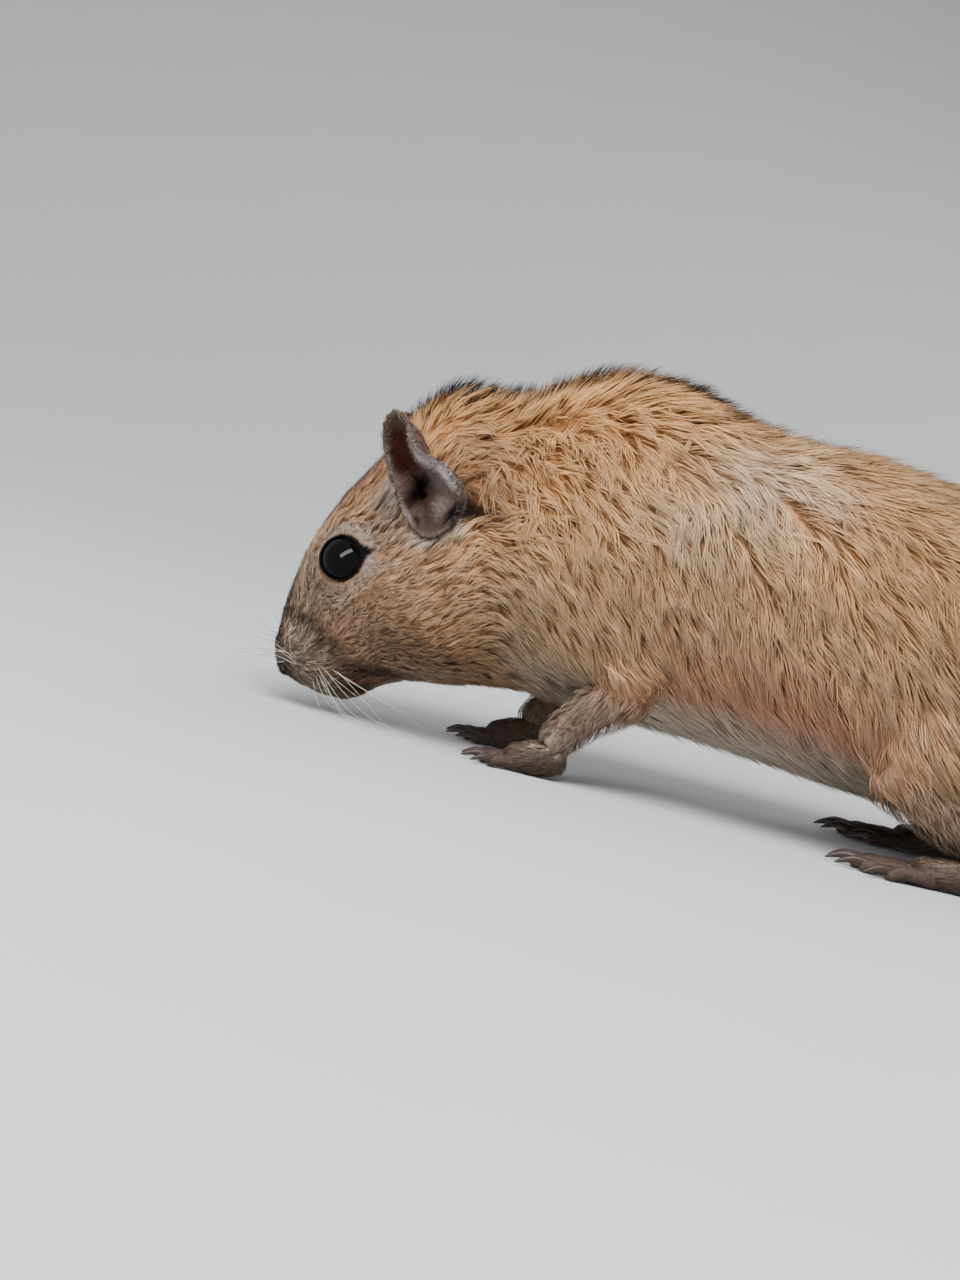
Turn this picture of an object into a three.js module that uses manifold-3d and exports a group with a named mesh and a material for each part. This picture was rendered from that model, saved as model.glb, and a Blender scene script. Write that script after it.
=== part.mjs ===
// A life-size gerbil with a sandy agouti coat, standing low on all four feet with its head stretched out
// and tipped down. The solids give the outline of the coated animal. Millimetres, +Z up, floor at Z 0.
// The animal faces -X, so its left side is towards -Y. Body sizes are written with the forepaw near X 0,
// and the whole group is moved at the end, so that the origin is the middle of the box's underside.
import * as THREE from "three";
import { mergeVertices } from "three/addons/utils/BufferGeometryUtils.js";
import { ParametricGeometry } from "three/addons/geometries/ParametricGeometry.js";
import Module from "manifold-3d";

const wasm = await Module();
wasm.setup();

// Gap kept between neighbouring pieces
const GAP = 0.3;
const SIDES = { left: -1, right: 1 };

// The trunk from nose to tail root, as sections through its upper and lower outline.
// Each row: top X and Z, bottom X and Z, half width, height of the widest place (0 bottom, 1 top),
// and the roundness of the upper half (2 is an ellipse, less is more peaked).
const SECTIONS = {
  nosePad: [-28.4, 7.9, -26.0, 2.7, 2.8, 0.5, 2.0],
  nostrils: [-28.5, 10.3, -24.0, 2.1, 4.2, 0.45, 2.0],
  whiskerPads: [-28.3, 12.9, -21.3, 1.8, 5.3, 0.4, 2.1],
  muzzle: [-27.9, 16.0, -18.6, 2.3, 6.5, 0.42, 2.4],
  eyeFront: [-27.0, 19.3, -16.0, 3.9, 8.2, 0.45, 2.7],
  eye: [-25.9, 22.6, -13.4, 5.4, 9.8, 0.47, 2.8],
  brow: [-24.5, 26.0, -10.6, 6.1, 11.2, 0.45, 2.5],
  crown: [-22.6, 29.4, -7.8, 6.4, 12.3, 0.42, 2.15],
  occiput: [-20.1, 33.5, -5.0, 6.9, 13.1, 0.42, 1.95],
  nape: [-17.4, 38.3, -2.4, 7.2, 13.9, 0.42, 1.85],
  ruff: [-13.8, 40.9, 0.8, 7.5, 14.7, 0.43, 1.9],
  withers: [-7.0, 42.1, 6.0, 7.7, 15.8, 0.44, 2.0],
  hump: [-0.8, 46.1, 11.4, 7.7, 16.8, 0.45, 2.0],
  shoulder: [6.2, 48.3, 17.8, 7.8, 17.6, 0.45, 2.0],
  back: [13.0, 47.7, 25.0, 7.6, 18.3, 0.45, 2.0],
  flank: [22.5, 45.5, 33.6, 7.2, 19.0, 0.44, 2.0],
  loin: [33.0, 45.5, 42.0, 6.6, 19.6, 0.43, 2.0],
  haunch: [45.0, 44.6, 50.5, 6.2, 19.8, 0.43, 2.0],
  rump: [56.5, 41.2, 58.5, 6.0, 19.4, 0.43, 2.0],
  croup: [66.0, 35.6, 66.0, 6.4, 17.2, 0.42, 2.0],
  buttock: [73.2, 27.4, 72.0, 7.6, 12.6, 0.42, 2.0],
  tailRoot: [77.6, 19.4, 75.8, 9.6, 6.4, 0.5, 2.0],
};
const NOSE_TIP = [-27.9, 4.2];
const RUMP_END = [78.8, 14.2];
const CAP_TURN = THREE.MathUtils.degToRad(68);

// Soft swellings and hollows on each side of the trunk: place, reach along each axis, and rise
const SWELLINGS = {
  whiskerPad: { at: [-22.4, 5.0, 6.4], reach: [3.6, 3.0, 3.4], rise: 1.2 },
  lowerJaw: { at: [-17.6, 1.2, 2.6], reach: [3.0, 2.4, 1.8], rise: 0.5 },
  innerEye: { at: [-24.8, 6.4, 17.8], reach: [2.8, 2.8, 3.6], rise: 1.1 },
  brow: { at: [-23.6, 7.4, 22.4], reach: [2.6, 2.6, 1.6], rise: 0.6 },
  underEye: { at: [-21.6, 8.0, 15.4], reach: [3.2, 3.4, 2.6], rise: 0.8 },
  cheek: { at: [-11.5, 12.5, 13.5], reach: [6.5, 5.0, 6.5], rise: 1.2 },
  temple: { at: [-18.2, 10.0, 21.0], reach: [2.6, 3.0, 3.2], rise: -0.7 },
  shoulderBlade: { at: [7.0, 17.0, 24.0], reach: [8.0, 6.0, 10.0], rise: 1.3 },
  chestHollow: { at: [2.0, 0.0, 7.0], reach: [6.0, 6.0, 3.0], rise: -0.4 },
};

// Cuts through the trunk, each as the upper and the lower end of its line, X and Z
const CUTS = {
  headNeck: [-14.6, 40.5, -1.0, 7.3],
  neckChest: [-4.5, 44.5, 5.5, 7.6],
  chestLoin: [21.0, 46.5, 30.0, 7.4],
  loinRump: [47.0, 44.2, 51.5, 6.2],
};

const EYE = { at: [-22.3, 7.2, 18.1], radius: 3.0, aim: [-0.3, 1, 0.16] };
// The lids' edge: how far it opens, how much further towards the front and rear corners, and its roll
const LID = { opening: 2.6, front: 0.2, rear: 0.9, thickness: 0.36, standoff: 0.25, slant: 0.25, seat: 1.3 };
// Grooves that follow the skin: place along the trunk and turn round it, as in plainTrunk
const NOSTRIL = [
  [-0.74, 0.3],
  [-0.44, 0.31],
  [-0.1, 0.35],
];
const MOUTH_LINE = [
  [0.95, 0.5],
  [1.5, 0.45],
  [2.2, 0.424],
  [3.0, 0.406],
  [3.7, 0.392],
];
const PHILTRUM = [
  [-0.7, 0.5],
  [-0.2, 0.5],
  [0.95, 0.5],
];
const GROOVE_WIDTH = { nostril: 0.8, mouth: 0.66, philtrum: 0.5 };

// Each ear is a cup. Its upper part turns to face forwards, and its lower part faces outwards.
const EAR = {
  canal: [-16.0, 7.6, 27.6],
  // Points of the margin, from the bottom up the front edge and down the back edge: X, Y out, Z
  margin: [
    [-14.2, 12.5, 23.5],
    [-16.7, 12.1, 25.2],
    [-18.3, 10.9, 27.4],
    [-20.0, 9.6, 29.8],
    [-21.3, 9.1, 32.2],
    [-21.8, 9.9, 34.2],
    [-21.1, 12.0, 35.8],
    [-19.4, 14.4, 35.1],
    [-18.3, 15.9, 33.2],
    [-16.6, 16.5, 31.9],
    [-14.4, 16.3, 31.6],
    [-12.2, 15.4, 30.1],
    [-11.2, 14.2, 27.8],
    [-12.0, 13.3, 25.2],
  ],
  behind: [0.8, -0.55, -0.15],
  depth: 2.6,
  rim: 0.5,
  wall: 0.9,
};

// Limbs as rows of X, Y out from the middle, Z, half width across and half height
const FORELEG = {
  upper: [
    [10.0, 11.0, 25.0, 5.0, 7.0],
    [12.0, 12.6, 18.5, 4.8, 6.4],
    [12.6, 13.2, 13.2, 3.8, 4.4],
  ],
  lower: [
    [13.0, 12.6, 12.0, 3.2, 3.5],
    [9.0, 11.9, 8.6, 2.7, 3.0],
    [6.2, 10.9, 4.6, 2.2, 2.3],
  ],
  paw: [
    [6.6, 10.6, 2.6, 2.1, 2.2],
    [4.0, 10.3, 1.9, 2.6, 2.1],
    [2.2, 10.1, 1.5, 2.7, 1.7],
  ],
};
const HINDLEG = {
  thigh: [
    [64.0, 9.0, 24.0, 7.0, 9.0],
    [57.0, 13.0, 21.5, 7.4, 12.4],
    [49.6, 15.4, 17.2, 6.3, 9.8],
    [44.4, 16.2, 13.2, 4.4, 6.0],
  ],
  shank: [
    [43.8, 16.4, 11.4, 3.6, 4.4],
    [52.0, 15.8, 8.8, 3.4, 4.6],
    [61.0, 15.0, 6.4, 2.7, 3.6],
    [67.2, 14.4, 4.6, 2.2, 2.8],
  ],
  foot: [
    [68.4, 14.4, 2.3, 2.0, 2.5],
    [62.0, 14.8, 1.9, 2.3, 2.2],
    [54.0, 15.6, 1.8, 2.8, 2.0],
    [49.6, 16.2, 1.5, 3.2, 1.7],
  ],
};

// Digits: where each leaves the paw, across it, its length and the way that it turns out
const FORE_DIGITS = {
  root: [2.0, 10.0, 1.1],
  across: [-2.1, -0.75, 0.75, 2.0],
  length: [2.6, 3.6, 3.7, 2.8],
  spread: [-22, -7, 8, 24],
  radius: 0.72,
  claw: 2.0,
};
const HIND_DIGITS = {
  root: [49.4, 16.2, 1.1],
  across: [-2.6, -1.5, 0.0, 1.5, 2.6],
  length: [4.6, 7.6, 8.2, 7.4, 4.4],
  spread: [-16, -6, 1, 8, 20],
  radius: 0.85,
  claw: 2.6,
};
// The right-hand limbs stand a little further on than the left-hand ones
const STRIDE = { left: { fore: 0, hind: 0 }, right: { fore: -2.4, hind: 2.0 } };

const TAIL = {
  root: [74.0, 0, 13.8],
  length: 92,
  turn: THREE.MathUtils.degToRad(100),
  drop: 26,
  radiusRoot: 4.2,
  radiusMiddle: 2.9,
  radiusTip: 2.2,
  flat: 0.25,
  cuts: [0.17, 0.35, 0.53, 0.71],
};
// The long dark hair at the end of the tail, as tapered locks that stand away from it a little
const BRUSH = {
  locks: 30,
  from: 0.74,
  to: 0.985,
  // Less than 1 sets the locks closer together towards the tip
  crowding: 0.75,
  shortest: 6.5,
  longest: 11,
  liftLow: 10,
  liftHigh: 26,
  bend: 0.4,
  // Half width and half thickness from the root to the tip, for a flat lock that tapers
  rows: [
    [0.85, 0.5],
    [1.2, 0.42],
    [0.16, 0.1],
  ],
  seed: 7,
};

const material = (color, roughness) =>
  new THREE.MeshStandardMaterial({ color, roughness, metalness: 0 });
const MATERIALS = {
  coat: material(0xb98f5f, 0.9),
  belly: material(0xb9a58c, 0.9),
  ear: material(0x6f5648, 0.8),
  eye: material(0x0b0a0b, 0.1),
  paw: material(0x8f7f72, 0.85),
  claw: material(0x2a201c, 0.4),
  tail: material(0x9c7a52, 0.9),
};

// A closed geometry as a solid that faces out. Shared corners are merged and empty triangles dropped.
function solidOf(geometry) {
  const bare = new THREE.BufferGeometry();
  bare.setAttribute("position", geometry.getAttribute("position"));
  bare.setIndex(geometry.getIndex());
  const merged = mergeVertices(bare, 1e-3);
  const index = merged.getIndex().array;
  const kept = [];
  for (let i = 0; i < index.length; i += 3) {
    const [a, b, c] = [index[i], index[i + 1], index[i + 2]];
    if (a !== b && b !== c && c !== a) kept.push(a, b, c);
  }
  const make = (triangles) =>
    new wasm.Manifold(
      new wasm.Mesh({
        numProp: 3,
        vertProperties: new Float32Array(merged.getAttribute("position").array),
        triVerts: new Uint32Array(triangles),
      }),
    );
  const solid = make(kept);
  if (solid.volume() > 0) return solid;
  const turned = [];
  for (let i = 0; i < kept.length; i += 3) turned.push(kept[i], kept[i + 2], kept[i + 1]);
  return make(turned);
}

function largest(solid) {
  return solid.decompose().reduce((a, b) => (a.volume() > b.volume() ? a : b));
}

const unite = (solids) => solids.reduce((a, b) => a.add(b));
const without = (solid, ...cutters) => cutters.reduce((a, b) => a.subtract(b), solid);

// The value at place t of a smooth curve through the rows' numbers
function through(rows, t) {
  const place = THREE.MathUtils.clamp(t, 0, rows.length - 1);
  const i = Math.min(Math.floor(place), rows.length - 2);
  const f = place - i;
  const row = (k) => rows[THREE.MathUtils.clamp(k, 0, rows.length - 1)];
  const [a, b, c, d] = [row(i - 1), row(i), row(i + 1), row(i + 2)];
  return b.map((_, k) => {
    const slopeIn = (c[k] - a[k]) / 2;
    const slopeOut = (d[k] - b[k]) / 2;
    const rise = b[k] - c[k];
    const square = -3 * rise - 2 * slopeIn - slopeOut;
    const cube = 2 * rise + slopeIn + slopeOut;
    return b[k] + slopeIn * f + square * f ** 2 + cube * f ** 3;
  });
}

// Round end of a loft: how wide it is and how far towards the end's point, at share f of the cap
const capWidth = (f) => Math.sin(CAP_TURN * f) / Math.sin(CAP_TURN);
const capPull = (f) => (Math.cos(CAP_TURN * f) - Math.cos(CAP_TURN)) / (1 - Math.cos(CAP_TURN));

const sectionRows = Object.values(SECTIONS);
const LAST = sectionRows.length - 1;

// A point of the trunk without its swellings. place runs from -1 at the nose, through 0 at the first
// section, to one past the last section at the rump's end. turn goes round from the top, 0 to 1.
function plainTrunk(place, turn) {
  const [tx, tz, bx, bz, half, widest, peak] = through(sectionRows, place);
  const angle = 2 * Math.PI * turn;
  const up = Math.cos(angle);
  const out = Math.sin(angle);
  const power = up > 0 ? peak : 2.1;
  const height = Math.sign(up) * Math.abs(up) ** (2 / power);
  const side = Math.sign(out) * Math.abs(out) ** (2 / power);
  const middle = [bx + widest * (tx - bx), bz + widest * (tz - bz)];
  const end = height > 0 ? [tx, tz] : [bx, bz];
  const reach = Math.abs(height);
  const point = new THREE.Vector3(
    middle[0] + reach * (end[0] - middle[0]),
    half * side,
    middle[1] + reach * (end[1] - middle[1]),
  );
  const cap = place < 0 ? -place : Math.max(0, place - LAST);
  if (cap === 0) return point;
  const tip = place < 0 ? NOSE_TIP : RUMP_END;
  const pull = capPull(1 - cap);
  const centre = new THREE.Vector3(
    middle[0] + (tip[0] - middle[0]) * pull,
    0,
    middle[1] + (tip[1] - middle[1]) * pull,
  );
  const from = new THREE.Vector3(middle[0], 0, middle[1]);
  return point.sub(from).multiplyScalar(capWidth(1 - cap)).add(centre);
}

function swellingAt(point) {
  let rise = 0;
  for (const { at, reach, rise: height } of Object.values(SWELLINGS)) {
    const x = (point.x - at[0]) / reach[0];
    const y = (Math.abs(point.y) - at[1]) / reach[1];
    const z = (point.z - at[2]) / reach[2];
    rise += height * Math.exp(-(x * x + y * y + z * z));
  }
  return rise;
}

// A point of the trunk with its swellings, moved out by grow
function trunkPoint(place, turn, grow, target) {
  const step = 0.01;
  const inner = THREE.MathUtils.clamp(place, -1 + 2 * step, LAST + 1 - 2 * step);
  const along = plainTrunk(inner + step, turn).sub(plainTrunk(inner - step, turn));
  const round = plainTrunk(inner, turn + step).sub(plainTrunk(inner, turn - step));
  const normal = along.cross(round).normalize();
  const point = plainTrunk(place, turn);
  const atEnd = place <= -1 || place >= LAST + 1;
  if (atEnd) normal.set(place < 0 ? -1 : 1, 0, 0);
  return target.copy(point).addScaledVector(normal, swellingAt(point) + grow);
}

// The trunk as a solid, with its rows set close where the list of places is
function trunkSolid(places, columns, grow = 0) {
  const rows = places.length - 1;
  const surface = (u, v, target) => {
    const place = places[Math.round(v * rows)];
    const turn = Math.round(u * columns) % columns;
    trunkPoint(place, turn / columns, grow, target);
  };
  return solidOf(new ParametricGeometry(surface, columns, rows));
}

// Places along the trunk from one to another, with that step
function stretch(from, to, step) {
  const count = Math.round((to - from) / step);
  return Array.from({ length: count }, (_, i) => from + (i * (to - from)) / count);
}

// A round-ended loft along rows of X, Y, Z, half width and half height, moved out by grow.
// The width lies along wideway at the first row, and is carried on from there without a twist.
function loftSolid(rows, options = {}) {
  const { columns = 10, steps = 2, capRings = 3, blunt = 0.8, grow = 0, wideway = [0, 1, 0] } = options;
  const at = (t) => {
    const [x, y, z, wide, high] = through(rows, t);
    return { centre: new THREE.Vector3(x, y, z), wide: wide + grow, high: high + grow };
  };
  const last = rows.length - 1;
  const rings = [];
  const carried = new THREE.Vector3(...wideway);
  const addRing = (t, scale, slide) => {
    const { centre, wide, high } = at(t);
    const ahead = at(Math.min(t + 0.02, last)).centre.sub(at(Math.max(t - 0.02, 0)).centre).normalize();
    const across = carried.projectOnPlane(ahead).normalize().clone();
    const upward = ahead.clone().cross(across).multiplyScalar(high * scale);
    centre.addScaledVector(ahead, slide);
    rings.push({ centre, across: across.multiplyScalar(wide * scale), upward });
  };
  const capLength = (t) => blunt * Math.min(at(t).wide, at(t).high);
  for (let i = 0; i < capRings; i++) {
    const f = (i / capRings) * (Math.PI / 2);
    addRing(0, Math.sin(f), -capLength(0) * Math.cos(f));
  }
  for (let i = 0; i <= last * steps; i++) addRing(i / steps, 1, 0);
  for (let i = capRings - 1; i >= 0; i--) {
    const f = (i / capRings) * (Math.PI / 2);
    addRing(last, Math.sin(f), capLength(last) * Math.cos(f));
  }
  const surface = (u, v, target) => {
    const ring = rings[Math.round(v * (rings.length - 1))];
    const angle = (2 * Math.PI * (Math.round(u * columns) % columns)) / columns;
    target.copy(ring.centre);
    target.addScaledVector(ring.across, Math.cos(angle)).addScaledVector(ring.upward, Math.sin(angle));
  };
  return solidOf(new ParametricGeometry(surface, columns, rings.length - 1));
}

// The rows of a limb on one side, moved along by stride
const sided = (rows, side, stride) =>
  rows.map(([x, y, z, ...sizes]) => [x + stride, y * side, z, ...sizes]);

// What lies above the floor, and the part of a solid on one side of a cut through the trunk
const onFloor = (solid) => solid.trimByPlane([0, 0, 1], 0);
function beyond(solid, [tx, tz, bx, bz], way) {
  const normal = new THREE.Vector3(tz - bz, 0, bx - tx).normalize().multiplyScalar(way);
  const offset = normal.dot(new THREE.Vector3(tx, 0, tz)) + GAP / 2;
  return solid.trimByPlane(normal.toArray(), offset);
}

// Head parts

function eyeball(side, grow = 0) {
  const { at, radius } = EYE;
  const sphere = new THREE.SphereGeometry(radius + grow, 16, 10);
  sphere.translate(at[0], at[1] * side, at[2]);
  return solidOf(sphere);
}

// The rolled edge of the lids, a ring round the eye's opening with a longer rear corner
function lidRing(side) {
  const { at, radius, aim } = EYE;
  const centre = new THREE.Vector3(at[0], at[1] * side, at[2]);
  const axis = new THREE.Vector3(aim[0], aim[1] * side, aim[2]).normalize();
  const lengthwise = new THREE.Vector3(1, 0, LID.slant).projectOnPlane(axis).normalize();
  const crosswise = axis.clone().cross(lengthwise);
  const columns = 26;
  const around = 5;
  const surface = (u, v, target) => {
    const angle = (2 * Math.PI * (Math.round(u * columns) % columns)) / columns;
    const roll = (2 * Math.PI * (Math.round(v * around) % around)) / around;
    const corner = Math.cos(angle) > 0 ? LID.rear : LID.front;
    const open = LID.opening + corner * Math.cos(angle) ** 6;
    const out = Math.sqrt(Math.max((radius + LID.standoff) ** 2 - open ** 2, LID.seat ** 2));
    target
      .copy(centre)
      .addScaledVector(axis, out + LID.thickness * Math.sin(roll))
      .addScaledVector(lengthwise, (open + LID.thickness * Math.cos(roll)) * Math.cos(angle))
      .addScaledVector(crosswise, (open + LID.thickness * Math.cos(roll)) * Math.sin(angle));
  };
  return solidOf(new ParametricGeometry(surface, columns, around));
}

// The lids over the eyeball, from the socket up to their rolled edge
function lidDome(side) {
  const { at, radius, aim } = EYE;
  const axis = new THREE.Vector3(aim[0], aim[1] * side, aim[2]).normalize();
  const centre = new THREE.Vector3(at[0], at[1] * side, at[2]);
  const height = Math.sqrt((radius + LID.standoff) ** 2 - LID.opening ** 2);
  const down = axis.clone().negate();
  return eyeball(side, GAP + LID.thickness).trimByPlane(down.toArray(), down.dot(centre) - height);
}

// A tube to cut a groove with, along pairs of place and turn on the trunk, thinner towards its ends
function groove(pairs, side, width) {
  const spans = 3 * (pairs.length - 1);
  const rows = Array.from({ length: spans + 1 }, (_, i) => {
    const [place, turn] = through(pairs, i / 3);
    const { x, y, z } = trunkPoint(place, turn, 0, new THREE.Vector3());
    const radius = (width / 2) * (0.6 + 0.4 * Math.sin((Math.PI * i) / spans));
    return [x, y * side, z, radius, radius];
  });
  return loftSolid(rows, { columns: 6, steps: 1, capRings: 1 });
}

// The ear as a cup, or with filled as the whole space that it takes in the head
function earSolid(side, filled) {
  const grow = filled ? GAP : 0;
  const sidewards = (p) => new THREE.Vector3(p[0], p[1] * side, p[2]);
  const canal = sidewards(EAR.canal);
  const behind = sidewards(EAR.behind).normalize();
  const margin = EAR.margin.map(sidewards);
  const centre = margin.reduce((sum, p) => sum.add(p), new THREE.Vector3()).divideScalar(margin.length);
  const rim = new THREE.CatmullRomCurve3(
    margin.map((p) => p.clone().addScaledVector(p.clone().sub(centre).normalize(), grow)),
    true,
  );
  const inner = (turn, reach) => {
    const edge = rim.getPoint((turn + 1) % 1);
    const hollow = behind.clone().projectOnPlane(edge.clone().sub(canal).normalize());
    const deep = canal.clone().lerp(edge, 0.5).addScaledVector(hollow, EAR.depth);
    return canal
      .clone()
      .multiplyScalar((1 - reach) ** 2)
      .addScaledVector(deep, 2 * reach * (1 - reach))
      .addScaledVector(edge, reach ** 2);
  };
  const step = 0.01;
  const outward = (turn, reach) => {
    if (reach === 0) return behind.clone();
    const round = inner(turn + step, reach).sub(inner(turn - step, reach));
    const ahead = inner(turn, reach).sub(inner(turn, reach - step));
    const normal = round.cross(ahead).normalize();
    return normal.multiplyScalar(Math.sign(normal.dot(inner(turn, reach).sub(centre))));
  };
  const lid = centre.clone().addScaledVector(new THREE.Vector3(0, side, 0), 1);
  const rings = 4;
  const columns = 24;
  const surface = (u, v, target) => {
    const turn = (Math.round(u * columns) % columns) / columns;
    const k = Math.round(v * (2 * rings + 1));
    const back = k <= rings;
    const reach = back ? k / rings : (2 * rings + 1 - k) / rings;
    if (!back && filled) {
      target.copy(lid).lerp(rim.getPoint(turn), reach);
      return;
    }
    target.copy(inner(turn, reach));
    const shell = THREE.MathUtils.lerp(EAR.wall, EAR.rim, reach) + grow;
    if (back) target.addScaledVector(outward(turn, reach), shell);
  };
  return solidOf(new ParametricGeometry(surface, columns, 2 * rings + 1));
}

// Limb parts

// Rows of one digit, from inside the paw to its tip, and rows of the claw that it carries
function digitRows(set, k, side, stride) {
  const turn = THREE.MathUtils.degToRad(set.spread[k]);
  const ahead = [-Math.cos(turn), Math.sin(turn) * side];
  const start = [set.root[0] + stride, (set.root[1] + set.across[k]) * side];
  const at = (reach, z) => [start[0] + ahead[0] * reach, start[1] + ahead[1] * reach, z];
  const length = set.length[k];
  const radius = set.radius;
  const digit = [
    [...at(-1.2, radius + 0.2), radius * 0.95, radius],
    [...at(length * 0.45, radius + 0.35), radius * 0.9, radius],
    [...at(length * 0.9, radius * 0.85), radius, radius * 0.95],
  ];
  const claw = [
    [...at(length * 0.9, radius * 1.25), radius * 0.62, radius * 0.7],
    [...at(length * 0.9 + set.claw * 0.55, radius * 1.35), radius * 0.5, radius * 0.55],
    [...at(length * 0.9 + set.claw * 1.05, radius * 0.85), radius * 0.3, radius * 0.34],
    [...at(length * 0.9 + set.claw * 1.3, 0.42), 0.1, 0.1],
  ];
  return { digit, claw };
}

function pawSolid(palm, set, side, stride, grow = 0) {
  const digits = set.length.map((_, k) =>
    loftSolid(digitRows(set, k, side, stride).digit, { columns: 6, steps: 1, capRings: 2, grow }),
  );
  return unite([loftSolid(palm, { columns: 10, steps: 2, grow }), ...digits]);
}

// Tail

// Rows of the tail, which drops to the floor and then turns towards one side
function tailRows() {
  const count = 24;
  const thickEnd = 0.3;
  const rows = [];
  let [x, y] = TAIL.root;
  for (let i = 0; i <= count; i++) {
    const f = i / count;
    const radius =
      f < thickEnd
        ? THREE.MathUtils.lerp(TAIL.radiusRoot, TAIL.radiusMiddle, f / thickEnd)
        : THREE.MathUtils.lerp(TAIL.radiusMiddle, TAIL.radiusTip, (f - thickEnd) / (1 - thickEnd));
    const fall = THREE.MathUtils.smoothstep((f * TAIL.length) / TAIL.drop, 0, 1);
    rows.push([x, y, THREE.MathUtils.lerp(TAIL.root[2], radius - TAIL.flat, fall), radius, radius]);
    const heading = TAIL.turn * f ** 1.3;
    const step = TAIL.length / count;
    x += Math.cos(heading) * step;
    y += Math.sin(heading) * step;
  }
  return rows;
}

// The middle of the tail and its direction, at a share of its length
function tailFrame(rows, share) {
  const t = share * (rows.length - 1);
  const at = (place) => new THREE.Vector3(...through(rows, place).slice(0, 3));
  const here = at(t);
  const ahead = at(t + 0.5).sub(at(t - 0.5)).normalize();
  return { here, ahead, radius: through(rows, t)[3] };
}

// Numbers from 0 to 1 that come in the same order every time
function seededRandom(seed) {
  let state = seed;
  return () => {
    state = (state * 48271) % 2147483647;
    return state / 2147483647;
  };
}

function brushLocks(rows) {
  const random = seededRandom(BRUSH.seed);
  const golden = Math.PI * (3 - Math.sqrt(5));
  const up = new THREE.Vector3(0, 0, 1);
  return Array.from({ length: BRUSH.locks }, (_, k) => {
    const share = ((k + 0.5) / BRUSH.locks) ** BRUSH.crowding;
    const { here, ahead, radius } = tailFrame(rows, THREE.MathUtils.lerp(BRUSH.from, BRUSH.to, share));
    const across = up.clone().cross(ahead).normalize();
    const angle = golden * k;
    const outward = across.clone().multiplyScalar(Math.cos(angle)).addScaledVector(up, Math.sin(angle));
    const lift = THREE.MathUtils.degToRad(THREE.MathUtils.lerp(BRUSH.liftLow, BRUSH.liftHigh, random()));
    const way = ahead.clone().multiplyScalar(Math.cos(lift)).addScaledVector(outward, Math.sin(lift));
    const length = THREE.MathUtils.lerp(BRUSH.shortest, BRUSH.longest, share) * (0.85 + 0.3 * random());
    const start = here.clone().addScaledVector(outward, radius * 0.45);
    const lockRows = BRUSH.rows.map((sizes, i) => {
      const f = i / (BRUSH.rows.length - 1);
      const bent = BRUSH.bend * f * f;
      const point = start.clone().addScaledVector(way, length * (f - bent));
      point.addScaledVector(ahead, length * bent);
      return [...point.toArray(), ...sizes];
    });
    const wideway = ahead.clone().cross(outward).toArray();
    return loftSolid(lockRows, { columns: 4, steps: 1, capRings: 1, wideway });
  });
}

const group = new THREE.Group();
function addPiece(name, solid, look) {
  const { vertProperties, triVerts, numProp } = largest(solid).getMesh();
  if (numProp !== 3) throw new Error("a solid holds more than positions");
  const geometry = new THREE.BufferGeometry();
  geometry.setAttribute("position", new THREE.BufferAttribute(new Float32Array(vertProperties), 3));
  geometry.setIndex(new THREE.BufferAttribute(new Uint32Array(triVerts), 1));
  geometry.computeVertexNormals();
  const mesh = new THREE.Mesh(geometry, look);
  mesh.name = name;
  group.add(mesh);
}

const headPlaces = [
  ...stretch(-1, 0, 0.25),
  ...stretch(0, 8, 0.4),
  ...stretch(8, 12, 0.5),
  ...stretch(12, LAST + 1, 2),
  LAST + 1,
];
const bodyPlaces = [
  ...stretch(-1, 8, 1),
  ...stretch(8, LAST, 0.7),
  ...stretch(LAST, LAST + 1, 0.34),
  LAST + 1,
];
const fineTrunk = trunkSolid(headPlaces, 38);
const trunk = trunkSolid(bodyPlaces, 30);
const grownTrunk = trunkSolid(bodyPlaces, 30, GAP);

const limbs = Object.entries(SIDES).map(([name, side]) => {
  const fore = (rows, grow) => loftSolid(sided(rows, side, STRIDE[name].fore), { grow });
  const hind = (rows, grow) => loftSolid(sided(rows, side, STRIDE[name].hind), { grow });
  const forePalm = sided(FORELEG.paw, side, STRIDE[name].fore);
  const hindPalm = sided(HINDLEG.foot, side, STRIDE[name].hind);
  const forePaw = (grow) => pawSolid(forePalm, FORE_DIGITS, side, STRIDE[name].fore, grow);
  const hindPaw = (grow) => pawSolid(hindPalm, HIND_DIGITS, side, STRIDE[name].hind, grow);
  return { name, side, fore, hind, forePaw, hindPaw };
});

// Head
const headCuts = [groove(PHILTRUM, 1, GROOVE_WIDTH.philtrum)];
for (const side of Object.values(SIDES)) {
  headCuts.push(groove(MOUTH_LINE, side, GROOVE_WIDTH.mouth), groove(NOSTRIL, side, GROOVE_WIDTH.nostril));
  headCuts.push(earSolid(side, true), eyeball(side, GAP));
}
const lids = Object.values(SIDES).flatMap((side) => [lidRing(side), lidDome(side)]);
const headWithLids = unite([beyond(fineTrunk, CUTS.headNeck, -1), ...lids]);
addPiece("head", without(headWithLids, ...headCuts), MATERIALS.coat);
for (const [name, side] of Object.entries(SIDES)) {
  addPiece(`eye_${name}`, eyeball(side), MATERIALS.eye);
  addPiece(`ear_${name}`, earSolid(side, false), MATERIALS.ear);
}

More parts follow.
